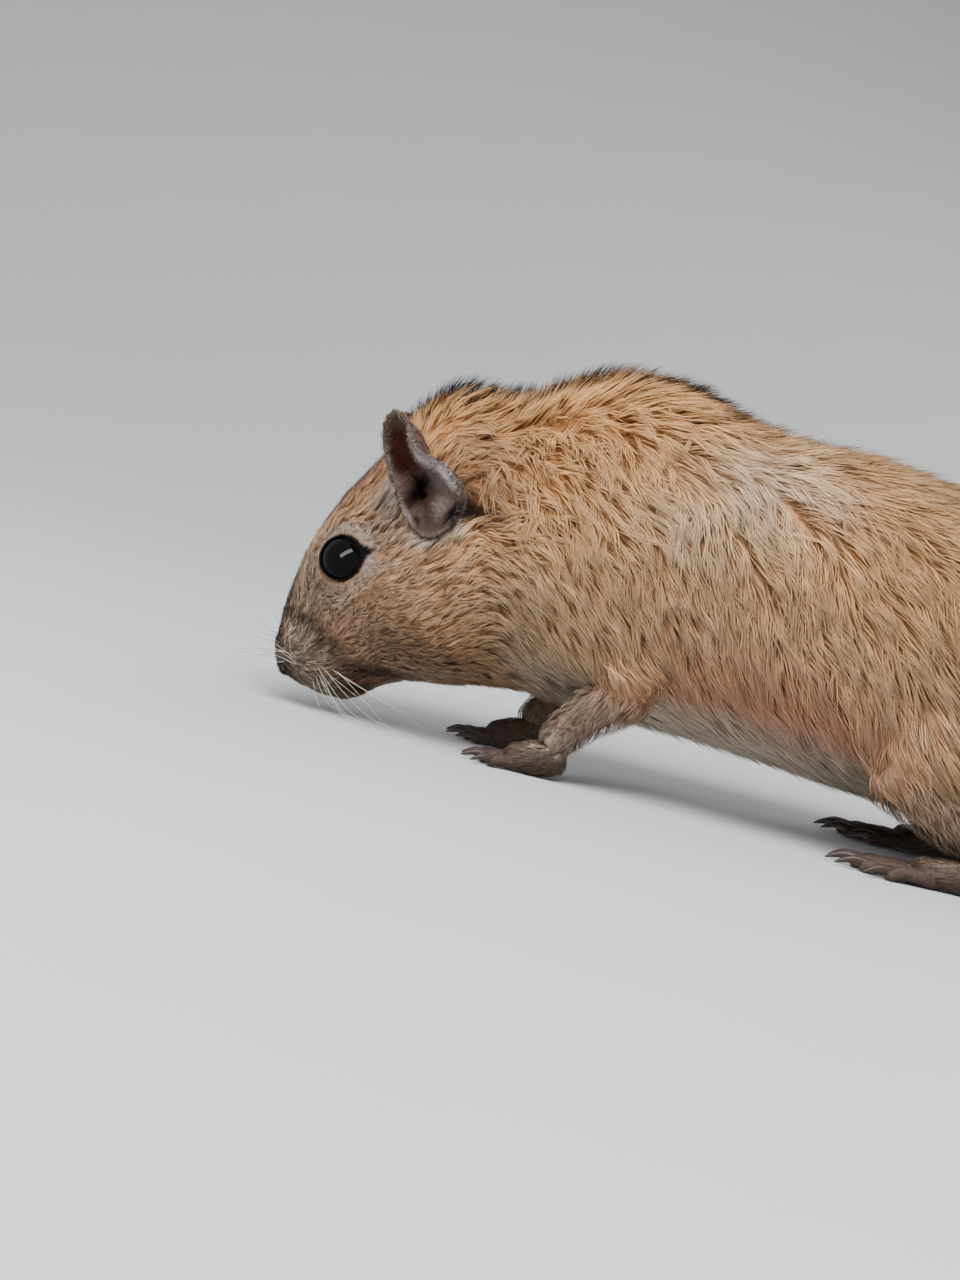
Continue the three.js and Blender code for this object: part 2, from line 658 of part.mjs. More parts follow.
// Neck and torso, with room for the limbs that grow from them
const between = (front, rear) => {
  const behind = front ? beyond(trunk, CUTS[front], 1) : trunk;
  return rear ? beyond(behind, CUTS[rear], -1) : behind;
};
const forePockets = limbs.map(({ fore }) => fore(FORELEG.upper, GAP));
const hindPockets = limbs.map(({ hind }) => hind(HINDLEG.thigh, GAP));
addPiece("neck", without(between("headNeck", "neckChest"), ...forePockets), MATERIALS.coat);
addPiece("chest", without(between("neckChest", "chestLoin"), ...forePockets), MATERIALS.coat);
addPiece("loin", without(between("chestLoin", "loinRump"), ...hindPockets), MATERIALS.coat);
addPiece("rump", without(between("loinRump", null), ...hindPockets), MATERIALS.coat);

for (const { name, side, fore, hind, forePaw, hindPaw } of limbs) {
  const upper = fore(FORELEG.upper, 0);
  const lower = without(fore(FORELEG.lower, 0), grownTrunk, fore(FORELEG.upper, GAP), forePaw(GAP));
  addPiece(`foreleg_${name}_upper`, upper, MATERIALS.coat);
  addPiece(`foreleg_${name}_lower`, lower, MATERIALS.coat);
  addPiece(`forepaw_${name}`, onFloor(forePaw(0)), MATERIALS.paw);
  const thigh = hind(HINDLEG.thigh, 0);
  const shank = without(hind(HINDLEG.shank, 0), grownTrunk, hind(HINDLEG.thigh, GAP), hindPaw(GAP));
  addPiece(`hindleg_${name}_thigh`, thigh, MATERIALS.coat);
  addPiece(`hindleg_${name}_shank`, shank, MATERIALS.coat);
  addPiece(`hindfoot_${name}`, onFloor(hindPaw(0)), MATERIALS.paw);
  const clawsOf = (label, set, stride, pawGrown) =>
    set.length.forEach((_, k) => {
      const claw = loftSolid(digitRows(set, k, side, stride).claw, { columns: 5, steps: 1, capRings: 1 });
      addPiece(`claw_${label}_${name}_${k + 1}`, without(claw, pawGrown), MATERIALS.claw);
    });
  clawsOf("fore", FORE_DIGITS, STRIDE[name].fore, forePaw(GAP));
  clawsOf("hind", HIND_DIGITS, STRIDE[name].hind, hindPaw(GAP));
}

// Tail, cut into lengths across its own path, with the brush on the last of them
const tailPath = tailRows();
const tail = without(onFloor(loftSolid(tailPath, { steps: 1 })), grownTrunk);
for (let k = 0; k <= TAIL.cuts.length; k++) {
  let length = tail;
  if (k > 0) {
    const { here, ahead } = tailFrame(tailPath, TAIL.cuts[k - 1]);
    length = length.trimByPlane(ahead.toArray(), ahead.dot(here) + GAP / 2);
  }
  if (k < TAIL.cuts.length) {
    const { here, ahead } = tailFrame(tailPath, TAIL.cuts[k]);
    length = length.trimByPlane(ahead.clone().negate().toArray(), -ahead.dot(here) + GAP / 2);
  } else {
    length = onFloor(unite([length, ...brushLocks(tailPath)]));
  }
  addPiece(`tail_${k + 1}`, length, MATERIALS.tail);
}

// The origin goes to the middle of the box's underside
const box = new THREE.Box3().setFromObject(group, true);
group.position.set(-(box.min.x + box.max.x) / 2, -(box.min.y + box.max.y) / 2, 0);

export default group;
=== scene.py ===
"""A grown gerbil with a golden ticked coat: one skin under solid tufts of hair, eyes, claws and whiskers.

Sizes are millimetres in the body frame: the nose points to -X, the left side to -Y, the floor is Z 0 and the
forepaws stand near X 0. place_in_scene moves them to the CAD frame and turns them into metres.
"""

import logging
import math
from dataclasses import dataclass, field
from enum import Enum

import bpy
import numpy as np
from mathutils import Matrix, Vector
from mathutils.bvhtree import BVHTree
from mathutils.kdtree import KDTree


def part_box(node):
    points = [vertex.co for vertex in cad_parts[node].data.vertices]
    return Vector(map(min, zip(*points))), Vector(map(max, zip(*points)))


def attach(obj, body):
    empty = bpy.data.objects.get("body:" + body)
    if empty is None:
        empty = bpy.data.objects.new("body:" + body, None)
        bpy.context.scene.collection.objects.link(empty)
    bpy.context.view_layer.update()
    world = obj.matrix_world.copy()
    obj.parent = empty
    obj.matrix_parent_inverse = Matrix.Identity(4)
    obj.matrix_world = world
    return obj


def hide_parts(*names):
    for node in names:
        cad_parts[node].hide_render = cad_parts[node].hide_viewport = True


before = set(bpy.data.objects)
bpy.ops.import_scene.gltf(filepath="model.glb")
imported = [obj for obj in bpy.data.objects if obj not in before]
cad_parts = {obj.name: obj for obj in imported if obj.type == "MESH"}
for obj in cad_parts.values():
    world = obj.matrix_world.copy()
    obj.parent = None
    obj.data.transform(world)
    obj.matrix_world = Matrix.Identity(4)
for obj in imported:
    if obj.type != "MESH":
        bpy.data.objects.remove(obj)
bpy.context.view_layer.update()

Array = np.ndarray
log = logging.getLogger("gerbil")

SIDES = {"left": -1, "right": 1}
MM = 0.001
PIECE_LIMIT = 190000      # triangles of one coat piece
ON_SKIN = 0.00012         # metres that a root may lie from the united skin
PATCH_SIZE = 0.003        # width of one hair's patch on the OFBake map
FLOOR_GAP = 0.02          # millimetres between the floor and the lowest hair
HAIR_NUMBERS = 13         # four colours and the ticked share
TICKED = 12               # place of the ticked share among them
SPREAD_STEPS = (0.7548776662, 0.5698402910)  # powers of the inverse of the plastic number

# The trunk's sections, as in the CAD: top X and Z, bottom X and Z, half width, widest place, roundness
SECTIONS = np.array([
    [-28.4, 7.9, -26.0, 2.7, 2.8, 0.50, 2.0],    # nose pad
    [-28.5, 10.3, -24.0, 2.1, 4.2, 0.45, 2.0],   # nostrils
    [-28.3, 12.9, -21.3, 1.8, 5.3, 0.40, 2.1],   # whisker pads
    [-27.9, 16.0, -18.6, 2.3, 6.5, 0.42, 2.4],   # muzzle
    [-27.0, 19.3, -16.0, 3.9, 8.2, 0.45, 2.7],   # front of the eye
    [-25.9, 22.6, -13.4, 5.4, 9.8, 0.47, 2.8],   # eye
    [-24.5, 26.0, -10.6, 6.1, 11.2, 0.45, 2.5],  # brow
    [-22.6, 29.4, -7.8, 6.4, 12.3, 0.42, 2.15],  # crown
    [-20.1, 33.5, -5.0, 6.9, 13.1, 0.42, 1.95],  # occiput
    [-17.4, 38.3, -2.4, 7.2, 13.9, 0.42, 1.85],  # nape
    [-13.8, 40.9, 0.8, 7.5, 14.7, 0.43, 1.9],    # ruff
    [-7.0, 42.1, 6.0, 7.7, 15.8, 0.44, 2.0],     # withers
    [-0.8, 46.1, 11.4, 7.7, 16.8, 0.45, 2.0],    # hump
    [6.2, 48.3, 17.8, 7.8, 17.6, 0.45, 2.0],     # shoulder
    [13.0, 47.7, 25.0, 7.6, 18.3, 0.45, 2.0],    # back
    [22.5, 45.5, 33.6, 7.2, 19.0, 0.44, 2.0],    # flank
    [33.0, 45.5, 42.0, 6.6, 19.6, 0.43, 2.0],    # loin
    [45.0, 44.6, 50.5, 6.2, 19.8, 0.43, 2.0],    # haunch
    [56.5, 41.2, 58.5, 6.0, 19.4, 0.43, 2.0],    # rump
    [66.0, 35.6, 66.0, 6.4, 17.2, 0.42, 2.0],    # croup
    [73.2, 27.4, 72.0, 7.6, 12.6, 0.42, 2.0],    # buttock
    [77.6, 19.4, 75.8, 9.6, 6.4, 0.50, 2.0],     # tail root
])
LAST = len(SECTIONS) - 1
TRUNK_PLACES = np.concatenate([
    np.arange(-1, 0, 0.06), np.arange(0, 8, 0.07), np.arange(8, LAST, 0.16),
    np.arange(LAST, LAST + 1, 0.1), [LAST + 1.0],
])
NOSE_TIP = np.array([-27.9, 4.2])
RUMP_END = np.array([78.8, 14.2])
CAP_TURN = math.radians(68)

# Swellings and hollows of each side: place, reach along each axis, rise
SWELLINGS = (
    ((-22.4, 5.0, 6.4), (3.6, 3.0, 3.4), 1.2),     # whisker pad
    ((-17.6, 1.2, 2.6), (3.0, 2.4, 1.8), 0.5),     # lower jaw
    ((-24.8, 6.4, 17.8), (2.8, 2.8, 3.6), 1.1),    # in front of the eye
    ((-23.6, 7.4, 22.4), (2.6, 2.6, 1.6), 0.6),    # brow
    ((-21.6, 8.0, 15.4), (3.2, 3.4, 2.6), 0.8),    # under the eye
    ((-11.5, 12.5, 13.5), (6.5, 5.0, 6.5), 1.2),   # cheek
    ((-18.2, 10.0, 21.0), (2.6, 3.0, 3.2), -0.7),  # temple
    ((7.0, 17.0, 24.0), (8.0, 6.0, 10.0), 1.3),    # shoulder blade
    ((2.0, 0.0, 7.0), (6.0, 6.0, 3.0), -0.4),      # hollow of the chest
)

# What the coat does along the trunk: place, depth of the coat, hair length, tuft spacing,
# half width of a hair, how far the hair turns down the sides, how much it is ruffled
PELAGE = np.array([
    [-1.0, 0.24, 0.8, 0.42, 0.030, 0.0, 0.0],
    [0.0, 0.38, 1.2, 0.44, 0.034, 0.1, 0.35],
    [2.0, 0.50, 1.5, 0.48, 0.036, 0.1, 0.35],
    [4.0, 0.58, 1.5, 0.52, 0.040, -0.25, 0.3],
    [6.0, 0.75, 1.7, 0.57, 0.044, -0.55, 0.3],
    [7.0, 1.00, 2.1, 0.63, 0.048, -0.6, 0.4],
    [8.0, 1.30, 2.6, 0.72, 0.052, -0.5, 0.7],
    [9.0, 1.70, 3.3, 0.82, 0.058, -0.1, 1.0],
    [10.0, 2.10, 4.0, 0.86, 0.062, 0.5, 1.1],
    [12.0, 2.40, 5.0, 0.90, 0.064, 1.2, 1.1],
    [14.0, 2.30, 5.8, 0.94, 0.066, 1.5, 0.7],
    [16.0, 2.10, 6.8, 0.96, 0.066, 1.1, 0.35],
    [19.0, 1.90, 7.0, 0.98, 0.068, 0.7, 0.25],
    [21.0, 1.80, 6.2, 0.96, 0.066, 0.4, 0.1],
    [22.0, 1.40, 5.0, 0.92, 0.060, 0.1, 0.0],
    [23.0, 0.90, 4.0, 0.86, 0.056, 0.0, 0.0],
])

EYE_AT = np.array([-22.3, 7.2, 18.1])
EYE_RADIUS = 3.0
EYE_AIM = np.array([-0.3, 1.0, 0.16])
EYE_CORNER = np.array([1.0, 0.0, 0.5])
EYE_CLEAR = 2.9   # hair keeps this far from the eye's axis
EYE_ZONE = 7.0    # nearer than this, hair parts round the eye
FACE_END = 5      # place along the trunk where grooves and the face's own ruffle end
MAP_SIDE = 40     # millimetres that the side of the OFBake map stands for

# The slit in the ear's upper half, seen from the side: middle X and Z, reach, and how far out it begins
SLIT_AT = (-18.1, 30.9)
SLIT_REACH = 1.4
SLIT_OUT = 7.1

# Grooves of the face: place along the trunk and turn round it
NOSTRIL = np.array([[-0.74, 0.30], [-0.44, 0.31], [-0.10, 0.35]])
MOUTH = np.array([[0.95, 0.5], [1.5, 0.45], [2.2, 0.424], [3.0, 0.406], [3.7, 0.392]])
PHILTRUM = np.array([[-0.7, 0.5], [-0.2, 0.5], [0.95, 0.5]])

# Limbs: X, Y out from the middle, Z, half width across, half height, depth of the coat
FORELEG = {
    "upper": [[10.0, 11.0, 25.0, 4.6, 6.4, 2.8], [12.0, 12.4, 18.5, 4.2, 5.6, 2.0],
              [12.6, 12.9, 13.2, 3.3, 3.9, 1.3]],
    "lower": [[13.0, 12.6, 12.0, 3.2, 3.5, 1.1], [9.0, 11.9, 8.6, 2.7, 3.0, 0.9],
              [6.2, 10.9, 4.6, 2.2, 2.3, 0.5]],
    "paw": [[6.6, 10.6, 2.6, 2.1, 2.2, 0.3], [4.0, 10.3, 1.9, 2.6, 2.1, 0.2],
            [2.2, 10.1, 1.5, 2.7, 1.7, 0.15]],
}
HINDLEG = {
    "thigh": [[64.0, 9.0, 24.0, 7.0, 9.0, 3.2], [57.0, 13.0, 21.5, 7.4, 12.4, 2.8],
              [49.6, 15.4, 17.2, 6.3, 9.8, 2.3], [44.4, 16.2, 13.2, 4.4, 6.0, 1.7]],
    "shank": [[43.8, 16.4, 11.4, 3.6, 4.4, 1.3], [52.0, 15.8, 8.8, 3.4, 4.6, 1.2],
              [61.0, 15.0, 6.4, 2.7, 3.6, 0.9], [67.2, 14.4, 4.6, 2.2, 2.8, 0.6]],
    "foot": [[68.4, 14.4, 2.3, 2.0, 2.5, 0.3], [62.0, 14.8, 1.9, 2.3, 2.2, 0.25],
             [54.0, 15.6, 1.8, 2.8, 2.0, 0.2], [49.6, 16.2, 1.5, 3.2, 1.7, 0.15]],
}
STRIDE = {"left": (0.0, 0.0), "right": (-2.4, 2.0)}


def unit(vectors: Array) -> Array:
    """Vectors of length one: each divided by its own length."""
    return vectors / np.maximum(np.linalg.norm(vectors, axis=-1, keepdims=True), 1e-9)


def along_skin(ways: Array, normal: Array) -> Array:
    """Ways of length one, with what they have of the normal taken out."""
    return unit(ways - normal * (ways * normal).sum(-1, keepdims=True))


def round_step(grid: Array) -> Array:
    """Steps of a grid round its closed rings, as central differences."""
    return (np.roll(grid, -1, 1) - np.roll(grid, 1, 1)) / 2


def side_way(points: Array, at: tuple[float, float], slope: float) -> tuple[Array, Array]:
    """How far points lie along and across a line through a spot, as seen from the side."""
    turn = math.radians(slope)
    away = points[..., [0, 2]] - at
    return away @ [math.cos(turn), math.sin(turn)], away @ [-math.sin(turn), math.cos(turn)]


def search_tree(points: Array) -> KDTree:
    """A search tree that knows each point by its number."""
    tree = KDTree(len(points))
    for k, spot in enumerate(points):
        tree.insert(spot, k)
    tree.balance()
    return tree


def ease(low: float, high: float, value: Array) -> Array:
    """A smooth step from 0 below low to 1 above high: 3f^2 - 2f^3."""
    share = np.clip((value - low) / (high - low), 0.0, 1.0)
    return share * share * (3.0 - 2.0 * share)


def through(rows: Array, places: Array) -> Array:
    """A smooth cubic through the rows: each span takes half the difference of its neighbours as slope.

    Args:
        rows: one row of numbers for each whole place.
        places: where to read, from 0 to the last row.

    Returns:
        One row of numbers for each place.
    """
    last = len(rows) - 1
    place = np.clip(places, 0, last)
    low = np.minimum(place.astype(int), last - 1)
    f = (place - low)[..., None]
    a, b, c, d = (rows[np.clip(low + k, 0, last)] for k in (-1, 0, 1, 2))
    slope_in, slope_out = (c - a) / 2, (d - b) / 2
    square = 3 * (c - b) - 2 * slope_in - slope_out
    cube = 2 * (b - c) + slope_in + slope_out
    return b + slope_in * f + square * f**2 + cube * f**3


def ripple(points: Array, size: float, seed: int) -> Array:
    """A smooth random field between about -1 and 1: six sine waves of about the given length."""
    rng = np.random.default_rng(seed)
    ways = unit(rng.normal(size=(6, 3))) * (2 * np.pi / (size * rng.uniform(0.7, 1.4, (6, 1))))
    return np.sin(points @ ways.T + rng.uniform(0, 2 * np.pi, 6)).sum(-1) / 3.0


def fold(points: Array) -> Array:
    """Points with their right halves mirrored to the left's distance from the middle: |Y| for Y."""
    return points * [1, 0, 1] + np.abs(points) * [0, 1, 0]


def round_eye(points: Array) -> tuple[Array, Array, Array, Array]:
    """Where points lie by the eye of their own side.

    Args:
        points: places in millimetres.

    Returns:
        Distance from the eye's axis, share of that towards the rear corner, share upwards, and
        height over the eyeball's centre along the axis.
    """
    axis = unit(EYE_AIM)
    rearward = unit(EYE_CORNER - axis * (EYE_CORNER @ axis))
    from_eye = fold(points) - EYE_AT
    height = from_eye @ axis
    rear, up = from_eye @ rearward, from_eye @ np.cross(rearward, axis)
    gap = np.hypot(rear, up)
    return gap, rear / np.maximum(gap, 1e-6), up / np.maximum(gap, 1e-6), height


def eye_corner(points: Array, blur: float) -> Array:
    """The dark wedge behind the eye, whose half height shrinks evenly from 0.95 mm to nothing at its tip."""
    gap, rear, up, height = round_eye(points)
    half = 0.95 * (4.1 - rear * gap) / 1.5
    return ease(-blur, blur, half - np.abs(up * gap)) * ease(2.0, 2.4, rear * gap) * (height > -0.8)


def tint(code: str) -> Array:
    """Linear red, green and blue of a six-digit sRGB colour."""
    srgb = np.array([int(code[i:i + 2], 16) for i in (0, 2, 4)]) / 255
    return np.where(srgb <= 0.04045, srgb / 12.92, ((srgb + 0.055) / 1.055) ** 2.4)


@dataclass(frozen=True)
class Hair:
    """One kind of hair: its colours from root to tip, and the share of hairs that are ticked with dark."""

    root: str
    middle: str
    tip: str
    dark: str
    ticked: float

    def numbers(self) -> Array:
        """Root, middle, tip and dark colour and the ticked share, as one row of HAIR_NUMBERS."""
        codes = (self.root, self.middle, self.tip, self.dark)
        return np.concatenate([*map(tint, codes), [self.ticked]])


class Kind(Enum):
    """The kinds of hair that the animal carries."""

    GOLDEN = Hair("ac6a3c", "cf925a", "e2b27c", "6a4628", 0.05)
    SANDY = Hair("aa7c56", "cda076", "e2c4a0", "805a42", 0.04)
    PALE = Hair("d8aa80", "ecc29a", "f4d8ba", "b08c6c", 0.0)
    RUSSET = Hair("9c5c44", "c67f62", "dc9e80", "6a4432", 0.05)
    GRIZZLED = Hair("866040", "b2895e", "d6b48a", "54402f", 0.16)
    NAPE = Hair("8a5a3a", "ab7c54", "c89f76", "5a4030", 0.12)
    DORSAL = Hair("8a6038", "b4844e", "5a4028", "100c0b", 0.85)
    BRIDGE = Hair("5c4a3d", "8e7460", "bca48c", "3e3029", 0.25)
    FOREHEAD = Hair("543a2c", "86604a", "a88468", "2a1e19", 0.3)
    EYE_RING = Hair("75655a", "a09082", "c4b6a6", "6c5c50", 0.0)
    TEMPLE = Hair("524238", "735f53", "948170", "3a2e27", 0.15)
    UNDER_EYE = Hair("6c5c50", "9a8878", "b8a898", "4a3c34", 0.2)
    CHEEK = Hair("644a38", "9e7b5d", "c4a688", "4a3428", 0.26)
    THROAT = Hair("6a564a", "9c8472", "c8b29e", "54443a", 0.06)
    LOW_CHEEK = Hair("4c3428", "835c42", "a37c5c", "3a281f", 0.22)
    MUZZLE = Hair("382b24", "8c7864", "d0bea4", "1f1713", 0.42)
    WHISKER_BED = Hair("1f1714", "382b24", "6e5d4e", "130e0c", 0.7)
    NOSE = Hair("2c2421", "4c403b", "6e615a", "191413", 0.5)
    CHIN = Hair("54473f", "8a7a6c", "b4a696", "3e322c", 0.15)
    # dark hair: laid as painted shade below the whisker pads, and as the dark corner and spot of the eye
    MOUTH = Hair("241a17", "3a2a24", "5a463c", "17100e", 0.4)
    # painted shade: the dark hair of the shadow behind the ear's rear margin
    SHADE_BEHIND_EAR = Hair("231a17", "3a2c26", "4c3c33", "15100e", 0.3)
    CREAM = Hair("a4937f", "d0bfa8", "eadcca", "8a7866", 0.0)
    BELLY = Hair("9c8570", "c6b49e", "e6dac8", "8c7560", 0.02)
    FOOT = Hair("3c302a", "5c4c42", "83725f", "2e2520", 0.18)
    TAIL = Hair("6c5238", "a98556", "c8a878", "33261c", 0.3)
    BRUSH = Hair("3a2c24", "4a382c", "2e241e", "15100e", 0.6)
    EAR = Hair("7c6c62", "a8998e", "cfc4b8", "5a4a42", 0.05)
    GUARD = Hair("4a3424", "2a1e18", "0c0908", "0c0908", 0.9)
    FRINGE = Hair("5e4c42", "8c796b", "b4a294", "453831", 0.08)
    LEG = Hair("54443a", "7e6a5b", "a89482", "3e322b", 0.14)


@dataclass(frozen=True)
class Patch:
    """A soft-edged marking: an ellipsoid that fades by exp(-r^(2 sharp)) from its middle."""

    kind: Kind
    at: tuple[float, float, float]
    reach: tuple[float, float, float]
    strength: float = 1.0
    sharp: float = 1.0

    def mask(self, points: Array) -> Array:
        """How much of the marking each point takes, from 0 to its strength."""
        square = (((fold(points) - self.at) / self.reach) ** 2).sum(-1)
        return self.strength * np.exp(-(square ** self.sharp))


@dataclass
class Markings:
    """The coat's colours at any point of the body, for skin and hair alike."""

    patches: tuple[Patch, ...] = (
        Patch(Kind.SANDY, (22, 18, 20), (26, 10, 14), 0.8, 1.4),
        Patch(Kind.SANDY, (52, 18, 18), (16, 10, 13), 0.8, 1.4),
        Patch(Kind.SANDY, (0, 15, 15), (12, 8, 10), 0.8, 1.2),
        Patch(Kind.RUSSET, (27, 16, 15), (16, 9, 8.5), 0.75, 1.4),
        Patch(Kind.NAPE, (-11.5, 10, 33.5), (6.5, 9, 6), 0.8, 1.4),
        Patch(Kind.PALE, (20, 12, 41), (8, 8, 5), 0.95, 1.1),
        Patch(Kind.PALE, (13, 14, 34), (8, 8, 4), 0.5, 1.1),
        Patch(Kind.GRIZZLED, (62, 6, 40), (34, 16, 20), 0.95, 1.4),
        Patch(Kind.GRIZZLED, (34, 0, 47), (20, 9, 6), 0.6, 1.2),
        Patch(Kind.CHEEK, (-19.5, 6, 14), (12.5, 14, 14), 0.95, 2.4),
        Patch(Kind.FOREHEAD, (-24.5, 0, 26), (6.6, 6.5, 8.5), 0.95, 1.4),
        Patch(Kind.BRIDGE, (-26.6, 4, 13.5), (3.2, 6, 5), 0.9, 1.4),
        Patch(Kind.LOW_CHEEK, (-13, 9, 9.4), (8.5, 6, 3.2), 0.8, 1.2),
        Patch(Kind.CHEEK, (-5.5, 12, 18), (5.5, 9, 7), 0.55, 1.4),
        Patch(Kind.THROAT, (-9, 4, 5.4), (9, 9, 3.4), 0.8, 1.4),
        Patch(Kind.THROAT, (-0.5, 12, 11.5), (4.5, 9, 4), 0.6, 1.4),
        Patch(Kind.MUZZLE, (-25.2, 4, 5.4), (4.8, 7, 4.6), 1.0, 2.0),
        Patch(Kind.UNDER_EYE, (-22.2, 6, 13.6), (2.6, 4, 1.3), 0.7, 1.4),
        Patch(Kind.CHIN, (-21.6, 0, 2.4), (4.4, 6.5, 2.0), 0.95, 1.6),
        # painted shade on the lower jaw, under the overhanging whisker pads
        Patch(Kind.MOUTH, (-17.2, 2, 2.8), (2.4, 6.5, 1.6), 0.55, 1.4),
        Patch(Kind.WHISKER_BED, (-27.6, 4.0, 9.8), (1.7, 4, 0.7), 0.75, 1.3),
        Patch(Kind.WHISKER_BED, (-25.2, 5.0, 9.4), (1.6, 4, 0.85), 0.8, 1.3),
        Patch(Kind.WHISKER_BED, (-23.2, 5.0, 8.4), (1.4, 4, 1.1), 0.95, 1.4),
        Patch(Kind.WHISKER_BED, (-21.2, 5.5, 7.5), (1.7, 4, 0.9), 0.9, 1.4),
        # painted shade along the mouth line and over the chin, under the whisker pads
        Patch(Kind.MOUTH, (-17.0, 5.0, 5.8), (5.4, 5, 1.0), 0.95, 1.4),
        Patch(Kind.MOUTH, (-19.4, 3.5, 4.0), (2.6, 4.5, 1.9), 0.7, 1.6),
        Patch(Kind.NOSE, (-29.1, 0, 7.5), (1.5, 3.2, 5.5), 0.95, 1.6),
        Patch(Kind.NOSE, (-27.0, 1.6, 3.4), (1.8, 2.4, 1.0), 0.9, 1.2),
        Patch(Kind.TEMPLE, (-19.3, 9, 25.7), (2.1, 4, 3.4), 0.9, 1.4),
        Patch(Kind.CREAM, (-15.2, 12, 22.4), (2.2, 6, 1.1), 0.9, 1.4),
        Patch(Kind.CREAM, (-12.9, 12, 23.7), (2.2, 6, 1.3), 1.0, 1.6),
        # painted shade in the pocket and along the rear margin behind the ear
        Patch(Kind.SHADE_BEHIND_EAR, (-10.2, 11, 27.2), (2.8, 7, 2.0), 1.0, 1.6),
        Patch(Kind.SHADE_BEHIND_EAR, (-12.0, 11, 28.8), (2.2, 7, 2.6), 0.85, 1.4),
    )

    def at(self, points: Array, normals: Array) -> Array:
        """Hair numbers for each point: golden, then each patch in turn, then belly and dorsal line.

        Args:
            points: places in millimetres.
            normals: the way that the skin faces there.

        Returns:
            A row of HAIR_NUMBERS for each point, as Hair.numbers gives them.
        """
        numbers = np.broadcast_to(Kind.GOLDEN.value.numbers(), (*points.shape[:-1], HAIR_NUMBERS)).copy()
        x, y, z = np.moveaxis(points, -1, 0)

        def paint(kind: Kind, mask: Array) -> None:
            """Lays one kind of hair over what is there, by its mask."""
            numbers[:] += (kind.value.numbers() - numbers) * mask[..., None]

        for patch in self.patches:
            paint(patch.kind, patch.mask(points))
        gap, rear, up, height = round_eye(points)
        ring = np.exp(-((gap - 3.5) / (0.5 + 0.25 * ease(0, 1, rear))) ** 2) * (height > 0)
        shown = ease(-0.1, 0.7, up) + 0.7 * ease(0.1, 0.8, rear) + 0.3 * ease(0, 0.7, -up)
        paint(Kind.EYE_RING, ring * np.clip(shown, 0, 0.9))
        spot = np.exp(-(((rear * gap - 1.2) / 0.5) ** 2) - ((up * gap + 3.3) / 0.35) ** 2)
        paint(Kind.MOUTH, np.clip(eye_corner(points, 0.3) + 0.8 * spot * (height > 0), 0, 1))
        below = ease(0.45, 0.9, -normals[..., 2]) * ease(-6, 4, x)
        paint(Kind.BELLY, np.clip(below + ease(7.5, 5.0, z) * ease(-2, 6, x), 0, 1) * 0.9)
        brow = np.exp(-(y / 2.8) ** 4) * ease(-19.5, -22.5, x) * ease(0.2, 0.6, -normals[..., 0])
        paint(Kind.NOSE, brow * 0.7)
        spine = np.exp(-(y / 3.8) ** 4) * ease(0.1, 0.6, normals[..., 2]) * ease(-21, -17, x)
        paint(Kind.DORSAL, spine * (0.8 - 0.45 * ease(6, 48, x)))
        return numbers


MARKINGS = Markings()


